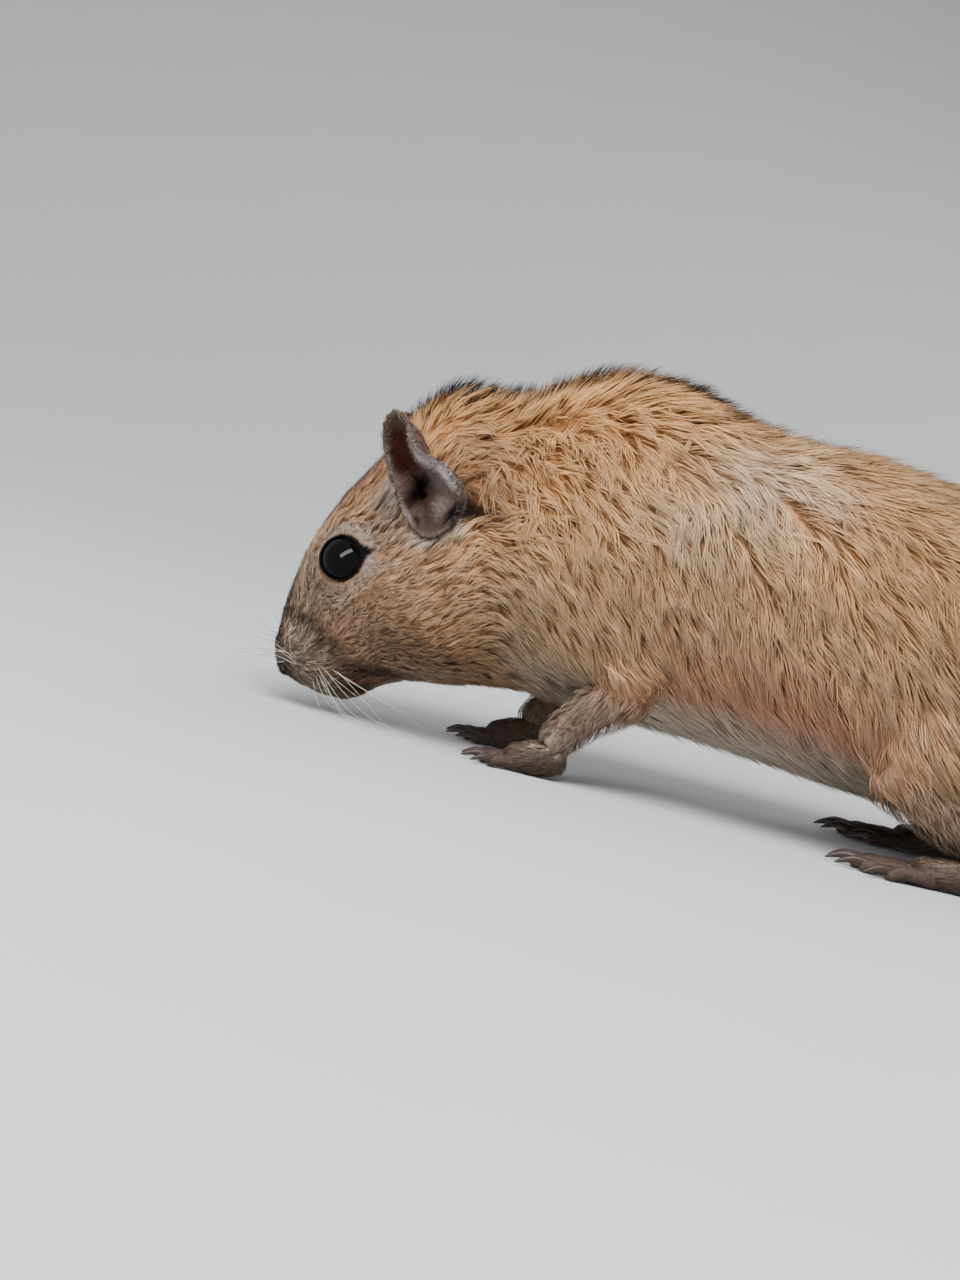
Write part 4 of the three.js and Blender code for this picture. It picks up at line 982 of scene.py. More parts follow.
@dataclass
class Ear:
    """A thin cup. A quadratic curve runs from the canal through a hollow to each point of the margin."""

    side: int
    canal: tuple[float, float, float] = (-16.0, 7.6, 27.6)
    margin: tuple[tuple[float, float, float], ...] = (
        (-14.2, 12.5, 23.5), (-16.7, 12.1, 25.2), (-18.3, 10.9, 27.4), (-20.0, 9.6, 29.8),
        (-21.3, 9.1, 32.2), (-21.8, 9.9, 34.2), (-21.1, 12.0, 35.8), (-19.4, 14.4, 35.1),
        (-18.3, 15.9, 33.2), (-16.6, 16.5, 31.9), (-14.4, 16.3, 31.6), (-12.2, 15.4, 30.1),
        (-11.2, 14.2, 27.8), (-12.0, 13.3, 25.2),
    )
    behind: tuple[float, float, float] = (0.8, -0.55, -0.15)
    depth: float = 2.6
    rim: float = 0.36
    wall: float = 0.8
    roll: float = 1.0
    roll_turn: float = 0.71
    roll_reach: float = 0.11
    folds: tuple[tuple[float, float, float, float, float, float], ...] = (
        (-14.2, 26.6, 62.0, 2.3, 1.5, 1.7),    # swelling of the lobe
        (-14.2, 29.6, -38.0, 2.6, 0.9, 0.9),   # rear ridge
        (-17.6, 29.0, 60.0, 1.6, 0.9, 0.6),    # front ridge
        (-16.4, 28.2, 68.0, 2.2, 0.62, -1.9),  # way into the canal
        (-11.9, 26.4, 60.0, 1.4, 0.5, -0.5),   # furrow inside the rear margin
    )
    columns: int = 112
    rings: int = 26

    def edge(self, turn: Array) -> Array:
        """The margin as a closed smooth curve, read at a turn from 0 to 1."""
        points = np.array(self.margin) * [1, self.side, 1]
        count = len(points)
        place = (turn % 1) * count
        low = place.astype(int)
        f = (place - low)[..., None]
        a, b, c, d = (points[(low + k) % count] for k in (-1, 0, 1, 2))
        square, cube = 2 * a - 5 * b + 4 * c - d, 3 * b - a - 3 * c + d
        return 0.5 * (2 * b + (c - a) * f + square * f**2 + cube * f**3)

    def cup(self, turn: Array, reach: Array) -> Array:
        """The cup's inner surface: the canal at reach 0, the margin at reach 1."""
        canal = np.array(self.canal) * [1, self.side, 1]
        behind = unit(np.array(self.behind) * [1, self.side, 1])
        edge = self.edge(turn)
        line = unit(edge - canal)
        hollow = unit(behind - line * (line @ behind)[..., None])
        deep = (canal + edge) / 2 + hollow * self.depth
        r = reach[..., None]
        return canal * (1 - r) ** 2 + deep * 2 * r * (1 - r) + edge * r**2

    def relief(self, points: Array) -> Array:
        """Rise of the folds inside the cup, as seen from the side.

        Each fold is middle X and Z, slope in degrees, half length, half width and rise; a rise below 0 is a
        furrow. The sum is kept above zero, so that the wall never thins.
        """
        total = np.zeros(points.shape[:-1])
        for x, z, slope, long, wide, rise in self.folds:
            along, across = side_way(points, (x, z), slope)
            total = total + rise * np.exp(-((along / long) ** 4) - (across / wide) ** 2)
        return np.maximum(total, 0)

    def mouth(self, points: Array) -> Array:
        """How far inside the cup's mouth points of the head lie: 1 in the middle, 0 outside the margin.

        The margin is seen from the canal; a point counts as inside where its angle from the middle line is
        smaller than the margin's at the same turn.
        """
        canal = np.array(self.canal)
        edge = self.edge(np.arange(180) / 180) * [1, self.side, 1] - canal
        middle = unit(unit(edge).mean(0))
        first = unit(np.cross(middle, [0.0, 0.0, 1.0]))
        second = np.cross(middle, first)

        def polar(ways: Array) -> tuple[Array, Array]:
            """Angle from the middle line, and turn about it."""
            ways = unit(ways)
            return np.arccos(np.clip(ways @ middle, -1, 1)), np.arctan2(ways @ second, ways @ first)

        edge_angle, edge_turn = polar(edge)
        order = np.argsort(edge_turn)
        angle, turn = polar(fold(points) - canal)
        limit = np.interp(turn, edge_turn[order], edge_angle[order], period=2 * np.pi)
        near = np.linalg.norm(fold(points) - canal, axis=-1) < 9
        return near * ease(0.02, 0.22, limit - angle)

    def pierced(self, hairs: Array) -> Array:
        """Whether hairs (each a row of nodes) come into the cup, whichever side they are on.

        A node is in the cup where the nearest place of the inner surface is not on the margin, is close, and
        has the node on its hollow side, or where the node lies in the mouth's own cone.
        """
        inner, _, normal = self.surfaces()
        rings, columns = inner.shape[:2]
        tree = search_tree(inner.reshape(-1, 3))
        flat = normal.reshape(-1, 3)
        near = np.linalg.norm(fold(hairs[:, 0]) - self.canal, axis=-1) < 13
        found = np.zeros(len(hairs), bool)
        if not near.any():
            return found
        between = (hairs[near][:, :-1] + hairs[near][:, 1:]) / 2
        nodes = fold(np.concatenate([hairs[near], between], 1)) * [1, self.side, 1]
        spots = nodes.reshape(-1, 3)
        place, index, gap = (np.array(part) for part in zip(*(tree.find(spot) for spot in spots)))
        over = ((spots - place) * flat[index]).sum(-1)
        within = (index < (rings - 1) * columns) & (gap < 5.0)
        hollow = (within & (over < 0.25)).reshape(len(nodes), -1)
        deep = (within & (over < -0.1)).reshape(len(nodes), -1)
        ahead = (nodes[:, 0, 0] - 0.75 * (nodes[:, 0, 2] - 25.0) < -17.0) & (nodes[:, 0, 2] < 31.0)
        mouth = self.mouth(nodes)
        edge = self.edge(np.arange(180) / 180)
        outward = unit(edge.mean(0) - np.array(self.canal) * [1, self.side, 1])
        rank = np.linalg.norm(nodes[:, :, None] - edge, axis=-1).argmin(-1)
        below = (nodes - edge[rank]) @ outward < 0.15
        sunk = (deep & below).any(1) | ((mouth > 0) & below).any(1) | (mouth > 0.5).any(1)
        found[near] = np.where(ahead, sunk, (hollow & below).any(1) | (mouth > 0).any(1))
        return found

    def tones(self, colour: Array, points: Array, inside: Array, rim: Array, outside: Array) -> Array:
        """Colours of the bare ear, laid over those given.

        Args:
            colour: colours so far.
            points: places, mirrored to the right side.
            inside: share of the cup's inner side at each place.
            rim: share of its margin.
            outside: share of its back.

        Returns:
            The colours with the lobe, the bowl, the ridges and the furrows laid in, with painted shade in
            the canal, the notch and the rear furrow, and a painted highlight on the rear ridge's edge.
        """
        hollow = np.maximum(inside, rim)
        upper = ease(29.2, 30.8, points[..., 2] - 0.35 * (points[..., 0] + 17))
        upper_end = ease(33.8, 35.4, points[..., 2])

        def streak(at: tuple[float, float], slope: float, long: float, wide: float) -> Array:
            """A long soft spot: exp of minus the fourth powers of its two distances."""
            along, across = side_way(points, at, slope)
            return np.exp(-((along / long) ** 4) - (across / wide) ** 4)

        layers = (
            ("5c463a", outside),
            ("523e37", inside),
            ("8c7871", inside * streak((-13.3, 27.1), 62, 1.5, 1.0)),    # lobe
            ("5c4842", inside * streak((-14.9, 25.6), 62, 1.3, 0.9)),    # foot of the lobe
            ("3e1a12", inside * upper * (1 - upper_end)),                 # upper slit
            ("4c3f2c", hollow * upper_end),
            ("5a4a41", rim * (1 - upper_end)),
            ("8a7570", rim * streak((-16.6, 25.4), 62, 2.0, 1.2)),       # front margin
            ("6a5e5b", hollow * streak((-15.0, 30.6), -38, 3.4, 1.1)),   # rear ridge
            ("aca6a2", hollow * streak((-13.4, 30.3), -46, 1.5, 0.3)),   # painted highlight along its edge
            ("120706", inside * streak((-16.3, 28.2), 68, 2.1, 0.7)),    # painted shade in the canal
            ("140c0a", hollow * streak((-11.5, 26.8), 60, 1.7, 0.85)),   # painted shade along the rear furrow
            ("1c1110", inside * streak((-15.6, 24.9), 20, 0.5, 0.35)),   # painted shade in the notch
        )
        for code, mask in layers:
            colour = colour + (tint(code) - colour) * np.clip(mask, 0, 1)[..., None]
        return colour

    def surfaces(self) -> tuple[Array, Array, Array]:
        """Inner surface, outer surface and the outward normal of the cup, as rings by columns."""
        turns = np.arange(self.columns) / self.columns
        reach, turn = np.meshgrid(np.linspace(0, 1, self.rings + 1), turns, indexing="ij")
        inner = self.cup(turn, reach)
        step = 0.01
        round_ = self.cup(turn + step, reach) - self.cup(turn - step, reach)
        ahead = self.cup(turn, reach) - self.cup(turn, reach - step)
        centre = (np.array(self.margin) * [1, self.side, 1]).mean(0)
        normal = unit(np.cross(round_, ahead))
        normal = normal * np.sign((normal * (inner - centre)).sum(-1, keepdims=True))
        normal[0] = unit(np.array(self.behind) * [1, self.side, 1])
        roll = self.roll * np.exp(-(((turn - self.roll_turn) / self.roll_reach) ** 2)) * reach**5
        shell = self.wall + (self.rim - self.wall) * reach + roll
        rise = roll + self.relief(inner) * ease(1.0, 0.85, reach) * ease(0.0, 0.15, reach)
        outward = unit(centre - np.array(self.canal) * [1, self.side, 1])
        lifted = inner - normal * roll[..., None] + outward * (rise - roll)[..., None]
        return lifted, inner + normal * (shell - roll)[..., None], normal

    def shell(self) -> Array:
        """One closed grid: the back from the canal to the margin, a round rim, and the cup back in."""
        inner, outer, _ = self.surfaces()
        middle, half = (inner[-1] + outer[-1]) / 2, (outer[-1] - inner[-1]) / 2
        away = unit(outer[-1] - outer[-2])
        away = away * np.linalg.norm(half, axis=-1, keepdims=True)
        angle = np.linspace(0, np.pi, 7)[1:-1, None, None]
        return np.concatenate([outer, middle + half * np.cos(angle) + away * np.sin(angle), inner[::-1]])

    def chart(self) -> Chart:
        """The whole cup as one chart for its fine down, which runs out to the margin on both sides."""
        skin = self.shell()
        chart = Chart("ear", skin, grid_normals(skin))
        rows, columns = skin.shape[:2]
        rolled = rows - 2 * (self.rings + 1)
        ramp = np.linspace(0, 1, self.rings + 1)
        full = np.ones((rows, columns))
        reach = np.concatenate([ramp, np.ones(rolled), ramp[::-1]])[:, None] * full
        inside = (np.arange(rows) >= rows - self.rings - 1)[:, None] * full
        outside = (np.arange(rows) <= self.rings)[:, None] * full
        away = unit(self.edge(np.arange(columns) / columns) - np.array(self.canal) * [1, self.side, 1])
        lie = along_skin(away + [0.18, 0.0, 0.22] + np.zeros(skin.shape), chart.normal)
        edge = ease(0.86, 0.98, reach)
        base = np.broadcast_to(Kind.FOREHEAD.value.numbers()[3:6], skin.shape)
        tone = self.tones(base, fold(skin), inside, edge * (1 - 0.5 * outside), outside)
        hair = np.concatenate([
            tone * 0.7, tone * 1.1, np.minimum(tone * 1.8 + 0.03, 1), tone * 0.4, 0.2 * full[..., None],
        ], -1)
        hair += (Kind.EAR.value.numbers() - hair) * (0.22 * edge)[..., None]
        chart.fields.update(
            lie=lie, spacing=(0.43 - 0.12 * edge) * full, depth=0.18 + 0.12 * outside + 0.08 * edge,
            length=0.62 + 0.3 * outside * (1 - edge), width=0.032 * full, ruffle=0 * full,
            cover=np.where(inside > 0, ease(0.1, 0.25, reach), ease(0.2, 0.5, reach)), hair=hair,
        )
        return chart


@dataclass
class Lids:
    """The lids as a shell of turning round the eye's axis, hugging the eyeball, with longer corners."""

    side: int
    opening: float = 2.56
    front: float = 0.1
    rear: float = 0.8
    inner: float = 3.03
    outer: float = 3.26
    columns: int = 72

    def frame(self) -> tuple[Array, Array, Array, Array]:
        """Centre of the eyeball, its axis, the line of the corners and the line across them."""
        centre = EYE_AT * [1, self.side, 1]
        axis = unit(EYE_AIM * [1, self.side, 1])
        lengthwise = unit(EYE_CORNER - axis * (EYE_CORNER @ axis))
        return centre, axis, lengthwise, np.cross(axis, lengthwise)

    def object(self) -> bpy.types.Object:
        """A closed ring: up the outer sphere, over the rolled edge and back down the inner sphere."""
        centre, axis, lengthwise, crosswise = self.frame()
        angle = 2 * np.pi * np.arange(self.columns) / self.columns
        corner = np.where(np.cos(angle) > 0, self.rear, self.front)
        opening = self.opening + corner * np.cos(angle) ** 14
        middle = (self.inner + self.outer) / 2
        edge = np.arcsin(np.clip(opening / middle, 0, 0.995))
        half = (self.outer - self.inner) / 2
        share = np.linspace(0, 1, 9)[:, None]
        low = math.radians(112)
        turn = np.linspace(0, np.pi, 7)[1:-1, None]
        polar = np.concatenate([
            low + (edge - low) * share, edge - half / middle * np.sin(turn), edge + (low - edge) * share,
        ])
        radius = np.concatenate([
            np.full((9, 1), self.outer), middle + half * np.cos(turn), np.full((9, 1), self.inner),
        ])
        radius = np.broadcast_to(radius, polar.shape)
        sideways = lengthwise * np.cos(angle)[:, None] + crosswise * np.sin(angle)[:, None]
        ahead, aside = (radius * np.cos(polar))[..., None], (radius * np.sin(polar))[..., None]
        points = centre + ahead * axis + aside * sideways
        rows = len(points)
        ring = np.arange(self.columns)
        a = self.columns * np.arange(rows)[:, None] + ring
        b = self.columns * np.arange(rows)[:, None] + (ring + 1) % self.columns
        quads = np.stack([a, np.roll(a, -1, 0), np.roll(b, -1, 0), b], -1).reshape(-1, 4)
        return new_object("lids", points, [quads[:, ::-self.side]])


@dataclass
class Skin:
    """The one skin: every fleshy part united into a single closed surface, coloured as the coat is."""

    trunk: Chart
    limbs: list[Chart]
    ears: list[Ear]

    def build(self) -> bpy.types.Object:
        """Unites trunk, limbs, tail, ears and lids, and keeps the result as one mesh."""
        body = add_tubes("skin", self.trunk.skin)
        parts = bpy.data.collections.new("flesh")
        bpy.context.scene.collection.children.link(parts)
        others = [add_tubes(chart.name, chart.skin) for chart in self.limbs]
        others += [add_tubes("ear", ear.shell()) for ear in self.ears]
        others += [Lids(side).object() for side in SIDES.values()]
        for thing in others:
            bpy.context.scene.collection.objects.unlink(thing)
            parts.objects.link(thing)
        union = body.modifiers.new("one_body", "BOOLEAN")
        union.operation, union.solver, union.operand_type = "UNION", "MANIFOLD", "COLLECTION"
        union.collection = parts
        seen = body.evaluated_get(bpy.context.evaluated_depsgraph_get())
        mesh = bpy.data.meshes.new_from_object(seen)
        body.modifiers.clear()
        body.data = mesh
        for thing in others:
            bpy.data.objects.remove(thing)
        bpy.data.collections.remove(parts)
        mesh.materials.clear()
        mesh.polygons.foreach_set("use_smooth", np.ones(len(mesh.polygons), bool))
        mesh.update()
        log.info("skin %d vertices", len(mesh.vertices))
        return body

    def dress(self, body: bpy.types.Object) -> None:
        """Writes the markings, darkened as undercoat, the bare colours of ears, lids and toes, and painted
        shade in the ear canal and the face's grooves.
        """
        mesh = body.data
        count = len(mesh.vertices)
        points, normals = np.empty(count * 3), np.empty(count * 3)
        mesh.vertices.foreach_get("co", points)
        mesh.vertex_normals.foreach_get("vector", normals)
        points = points.reshape(-1, 3) / MM - SHIFT
        normals = normals.reshape(-1, 3)
        numbers = MARKINGS.at(points, normals)
        colour = (numbers[:, 0:3] * 0.5 + numbers[:, 3:6] * 0.5) * 0.88
        x, y, z = points.T
        folded = fold(points)

        def paint(code: str, mask: Array) -> None:
            """Lays one colour over the skin by its mask."""
            colour[:] += (tint(code) - colour) * np.clip(mask, 0, 1)[:, None]

        feet = ease(3.4, 2.4, z) * ((x < 12) | ((x > 36) & (x < 76)))
        paint("78665a", ease(14, 10, z) * (np.abs(y) > 8) * ((x < 18) | (x > 38) & (x < 70)) * 0.8)
        paint("4a3c34", feet)
        paint("5a4636", ((x > 74) & (z < 12)) * 0.6)
        ear = self.ears[1]
        tree = search_tree(ear.shell().reshape(-1, 3))
        region = np.flatnonzero(np.abs(folded - [-16.5, 12.5, 29.5]).max(-1) < 8.5)
        hits = [tree.find(spot) for spot in folded[region]]
        rows = np.array([hit[1] // ear.columns for hit in hits])
        close = np.array([hit[2] for hit in hits]) < 0.3
        inside, rim, outside = np.zeros(count), np.zeros(count), np.zeros(count)
        last = ear.rings
        rim[region] = close * ease(last - 3, last, rows) * ease(last + 9, last + 6, rows)
        outside[region] = close & (rows <= last)
        inside[region] = close & (rows > last + 3)
        in_mouth = np.maximum(inside, ear.mouth(points) * (folded[:, 1] < 15) * (1 - outside))
        colour = ear.tones(colour, folded, in_mouth, rim, outside)
        from_canal = np.linalg.norm(folded - np.array(ear.canal) - [-0.2, 1.0, 0.4], axis=-1)
        canal_shade = np.exp(-((from_canal / 2.1) ** 6))
        # painted shade inside the ear canal
        paint("1a0c0a", canal_shade * (1 - inside * 0.9))
        gap, _, _, height = round_eye(points)
        near = (height > -0.5) & (gap < 5)
        paint("060404", near * ease(2.9, 2.72, gap))
        paint("050303", eye_corner(points, 0.12))
        trunk = Trunk()
        face = x < -10
        # painted shade in the grooves of the nostrils, mouth and philtrum
        for pairs, width in ((NOSTRIL, 0.34), (MOUTH, 0.36), (PHILTRUM, 0.26)):
            cut = np.zeros(count)
            cut[face] = trunk.groove(points[face], pairs, 1.0, width)
            paint("1c1210", cut * 0.9)
        colour_points(mesh, colour)


def clear_of_face(hairs: Array) -> Array:
    """Which hairs, each a row of nodes, keep out of the ear's cup, of its slit and of the eye."""
    gap, _, _, above = round_eye(hairs)
    by_slit = np.linalg.norm(fold(hairs)[..., [0, 2]] - SLIT_AT, axis=-1) < SLIT_REACH
    in_slit = by_slit & (np.abs(hairs[..., 1]) > SLIT_OUT)
    in_eye = (gap < EYE_CLEAR) & (above > 0)
    return ~(Ear(1).pierced(hairs) | in_eye.any(1) | in_slit.any(1))


@dataclass
class Coat:
    """Tufts of solid hairs over a chart. Each tuft follows the skin along the lie of the coat.

    rise is the range of a tuft's height as a share of the coat's depth, spread how far its roots lie apart
    and gather how far its tips draw together. lump and clump are the size and strength of the locks that
    tufts draw into, and ridged is how far the locks stand out, which also paints raised locks lighter and
    the gaps between them darker, as painted light and shade. mottle and speckle shade patches and tufts.
    soften, relief, lock and comb weigh the skin's normal, the hair's own, its lean and its way.
    """

    chart: Chart
    hairs: int
    seed: int
    steps: int = 2
    rows_used: tuple[int, int] | None = None
    rise: tuple[float, float] = (0.82, 1.12)
    spread: float = 0.82
    gather: float = 0.62
    lump: float = 1.6
    clump: float = 0.10
    ridged: float = 0.14
    mottle: float = 0.06
    speckle: float = 0.08
    soften: float = 1.0
    relief: float = 0.17
    lock: float = 0.26
    comb: float = 0.12

    def roots(self, outer: BVHTree | None) -> tuple[Array, Array]:
        """Rows and columns of the roots, without those that another part of the skin covers."""
        v, u = self.chart.scatter(self.seed, self.rows_used)
        if outer is None:
            return v, u
        places = place_in_scene(self.chart.read("skin", v, u))
        shown = np.array([outer.find_nearest(place)[3] < ON_SKIN for place in places])
        return v[shown], u[shown]

    def tufts(self, outer: BVHTree | None) -> tuple[Array, Array, Array, Array]:
        """Vertices, colours, OFBake places and soft normals of every hair.

        A hair is a row of three-cornered rings and a tip. Ring k sits at skin + side x offset +
        direction x slip + normal x height, with height depth x (1 - (1 - t)^bow) and t from 0 to 1.

        Args:
            outer: the united skin, where roots that another part covers are left out, or None for all.

        Returns:
            Points (hairs x vertices x 3), colours (the same), UV places (hairs x vertices x 2), and normals
            that lie between the skin's and the hair's own.
        """
        chart, steps = self.chart, self.steps
        rng = np.random.default_rng(self.seed)
        v, u = self.roots(outer)
        root, hair = chart.read("skin", v, u), chart.read("hair", v, u)
        length, spacing, depth, width, ruffle = (
            chart.read(name, v, u) for name in ("length", "spacing", "depth", "width", "ruffle")
        )
        length = length * rng.uniform(0.75, 1.2, len(v))
        swing = (0.18 + 0.30 * ruffle) * ripple(root, 6.0, 5) + rng.normal(0, 0.12 + 0.09 * ruffle)
        swing = swing + (0.12 + 0.12 * ruffle) * ripple(root, 2.4, 7)
        places, normals, ways, sides = chart.walk(v, u, length, swing, steps)
        ridge = ripple(root, self.lump, 31)
        reach = 0.3 * sides[:, 0]
        pull = (ripple(root + reach, self.lump, 31) - ripple(root - reach, self.lump, 31)) / 0.6
        pull = np.clip(pull * self.lump**2 * self.clump, -0.45 * self.lump, 0.45 * self.lump)

        count, nodes, m = len(v), steps + 1, self.hairs
        shape = (count, m)
        t = np.linspace(0, 1, nodes)
        radius = np.sqrt(rng.uniform(0, 1, shape)) * spacing[:, None] * self.spread
        around = rng.uniform(0, 2 * np.pi, shape)
        off_side, off_way = radius * np.cos(around), radius * np.sin(around)
        stretch = rng.uniform(-0.22, 0.12, shape) * length[:, None]
        swell = ripple(root, 4.5, 9)
        black = ease(0.35, 0.62, hair[:, TICKED]) * ease(-0.4, 0.2, ripple(root, 2.2, 21))
        tuft_rise = rng.uniform(*self.rise, count) + ruffle * (0.12 + 0.3 * swell) + 0.06 * swell
        tuft_rise = tuft_rise + 0.12 * black + self.ridged * ridge
        flyaway = np.where(rng.uniform(0, 1, shape) < 0.06, rng.uniform(0.15, 0.4, shape), 0)
        rise = tuft_rise[:, None] + rng.uniform(-0.12, 0.12, shape) + flyaway
        rise = np.minimum(rise, 1.4) * depth[:, None]
        bow = 2.0 - 0.75 * ruffle[:, None, None]
        height = rise[..., None] * (1 - (1 - t) ** bow) - 0.12 * depth[:, None, None] * (1 - t) - 0.05
        wave = rng.uniform(-1, 1, count) * (0.04 + 0.10 * ruffle) * length
        stray = rng.normal(0, 0.05, shape)[..., None] * length[:, None, None] * t**1.5
        phase = rng.uniform(0, 1.5, count)[:, None, None]
        sway = wave[:, None, None] * np.sin(np.pi * t * 1.2 + phase) * t
        gather = (self.gather + 0.2 * np.minimum(ruffle, 1))[:, None, None]
        side = off_side[..., None] * (1 - gather * t) + sway + stray + pull[:, None, None] * t**1.3
        slip = off_way[..., None] + stretch[..., None] * t
        centre = (
            places[:, None] + sides[:, None] * side[..., None] + ways[:, None] * slip[..., None]
            + normals[:, None] * height[..., None]
        )
        roll = rng.uniform(-0.7, 0.7, shape)[..., None, None]
        across = sides[:, None] * np.cos(roll) + normals[:, None] * np.sin(roll)
        over = normals[:, None] * np.cos(roll) - sides[:, None] * np.sin(roll)
        girth = np.interp(t, [0, 0.4, 0.8, 1], [0.8, 1.0, 0.62, 0.0])
        half = (width[:, None] * rng.uniform(0.75, 1.25, shape))[..., None, None] * girth[:, None]
        corners = np.stack([centre + across * half, centre + over * half * 0.9, centre - across * half], 3)

        own = np.stack([across, over, -across], 3)
        relief = (self.relief + 0.06 * ruffle)[:, None, None, None, None]
        lean = (off_side / (spacing[:, None] * self.spread))[..., None, None, None] * sides[:, None, :, None]
        soft = unit(
            normals[:, None, :, None] * self.soften + own * relief
            + ways[:, None, :, None] * self.comb + lean * self.lock
        )

        def in_rows(rings: Array, tips: Array) -> Array:
            """The rings' corners one after another, and then the tip."""
            return np.concatenate([rings[:, :, :-1].reshape(count, m, steps * 3, 3), tips], 2)

        points, soft = in_rows(corners, centre[:, :, -1:]), in_rows(soft, soft[:, :, -1:, 1])
        colours = self.colours(rng, root, hair, black, ridge)
        uv = self.bake_places(v, u, off_side, off_way)
        made = tuple(part.reshape(count * m, steps * 3 + 1, -1) for part in (points, colours, uv, soft))
        if chart.name == "trunk":
            keep = clear_of_face(centre.reshape(-1, nodes, 3))
            made = tuple(part[keep] for part in made)
        return made

    def colours(
        self, rng: np.random.Generator, root: Array, hair: Array, black: Array, ridge: Array,
    ) -> Array:
        """Colours from root through middle to tip, shaded by tuft and hair, some hairs ticked dark.

        Args:
            rng: the coat's source of chance.
            root: places of the roots.
            hair: hair numbers there.
            black: how dark-tipped the fur is there.
            ridge: how far locks stand out there, painted lighter where they rise and darker in the gaps.

        Returns:
            A colour for each vertex of each hair of each tuft.
        """
        count, m = len(root), self.hairs
        t = np.linspace(0, 1, self.steps + 1)
        shade = 0.06 * ripple(root, 6.0, 13) + self.mottle * ripple(root * [1, 1, 0.6], 1.7, 17)
        # painted light and shade: raised locks lighter, the gaps between them darker
        shade = (shade + 0.5 * self.ridged * ridge)[:, None, None]
        shade = shade + rng.normal(0, self.speckle, (count, 1, 1)) + rng.normal(0, 0.035, (count, m, 1))
        chance = 0.7 * rng.uniform(0, 1, (count, 1)) + 0.3 * rng.uniform(0, 1, (count, m))
        dark = (chance < 1.2 * hair[:, None, TICKED] * (0.75 + 0.4 * black[:, None]))[..., None]
        base, middle, tip, ink = (hair[:, None, k:k + 3] for k in (0, 3, 6, 9))
        inked = (0.2 + 0.5 * (hair[:, TICKED] > 0.6))[:, None, None]
        middle = np.where(dark, middle * (1 - inked) + ink * inked, middle)
        tip = np.where(dark, ink, tip)
        low, high = np.clip(t / 0.5, 0, 1)[:, None], np.clip((t - 0.5) / 0.5, 0, 1)[:, None]
        colour = base[:, :, None] * (1 - low) + middle[:, :, None] * (low - high) + tip[:, :, None] * high
        colour = colour * np.exp(shade)[..., None]
        return np.concatenate([np.repeat(colour[:, :, :-1], 3, 2), colour[:, :, -1:]], 2)

    def bake_places(self, v: Array, u: Array, off_side: Array, off_way: Array) -> Array:
        """OFBake places: for each hair a patch PATCH_SIZE across, at its root's place on the chart.

        Args:
            v: rows of the roots.
            u: columns of the roots.
            off_side: how far each hair stands aside of its root, in millimetres.
            off_way: how far it stands ahead.

        Returns:
            A UV place for each vertex of each hair of each tuft.
        """
        rows, columns = self.chart.skin.shape[:2]
        t = np.linspace(0, 1, self.steps + 1)
        spot = np.stack([(u % columns) / columns, v / rows], -1)[:, None]
        shift = np.stack([off_side / MAP_SIDE, off_way / MAP_SIDE], -1)
        across = np.concatenate([np.tile([-0.5, 0.0, 0.5], self.steps), [0.0]])
        along = np.concatenate([np.repeat(t[:-1] - 0.5, 3), [0.5]])
        return (spot + shift)[:, :, None] + np.stack([across, along], -1) * PATCH_SIZE

    def faces(self, count: int) -> Array:
        """Triangles of count hairs: a root cap, the sides between rings, and the tip."""
        ring = [(0, 1), (1, 2), (2, 0)]
        last = 3 * (self.steps - 1)
        one = [(0, 2, 1)]
        for low in range(0, last, 3):
            for a, b in ring:
                one += [(low + a, low + b, low + 3 + b), (low + a, low + 3 + b, low + 3 + a)]
        one += [(last + a, last + b, last + 3) for a, b in ring]
        return (np.array(one)[None] + np.arange(count)[:, None, None] * (self.steps * 3 + 1)).reshape(-1, 3)


def add_hair_piece(
    name: str, batches: list[tuple[Array, Array, Array, Array, Array]], look: bpy.types.Material,
) -> bpy.types.Object:
    """One coat piece from batches of hairs, with its colours and its OFBake map.

    Args:
        name: of the piece.
        batches: for each, points, colours, UV places, soft normals and triangles.
        look: the hair's material.

    Returns:
        The piece.
    """
    starts = np.cumsum([0] + [len(b[0]) * b[0].shape[1] for b in batches])
    points, colours, places, soft = (
        np.concatenate([b[k].reshape(-1, b[k].shape[-1]) for b in batches]) for k in range(4)
    )
    faces = np.concatenate([b[4] + start for b, start in zip(batches, starts)])
    points[:, 2] = np.maximum(points[:, 2], FLOOR_GAP)
    piece = new_object(name, points, [faces])
    mesh = piece.data
    colour_points(mesh, colours)
    lay = mesh.attributes.new("lay", "FLOAT_VECTOR", "POINT")
    lay.data.foreach_set("vector", soft.astype(np.float32).ravel())
    if len(batches) == 1:
        span = places.max(0) - places.min(0)
        places = 0.004 + 0.992 * (places - places.min(0)) / np.maximum(span, 1e-6)
    uv = mesh.uv_layers.new(name="OFBake")
    uv.data.foreach_set("uv", places[faces.ravel()].astype(np.float32).ravel())
    mesh.materials.append(look)
    log.info("%s %d triangles", name, len(faces))
    return piece


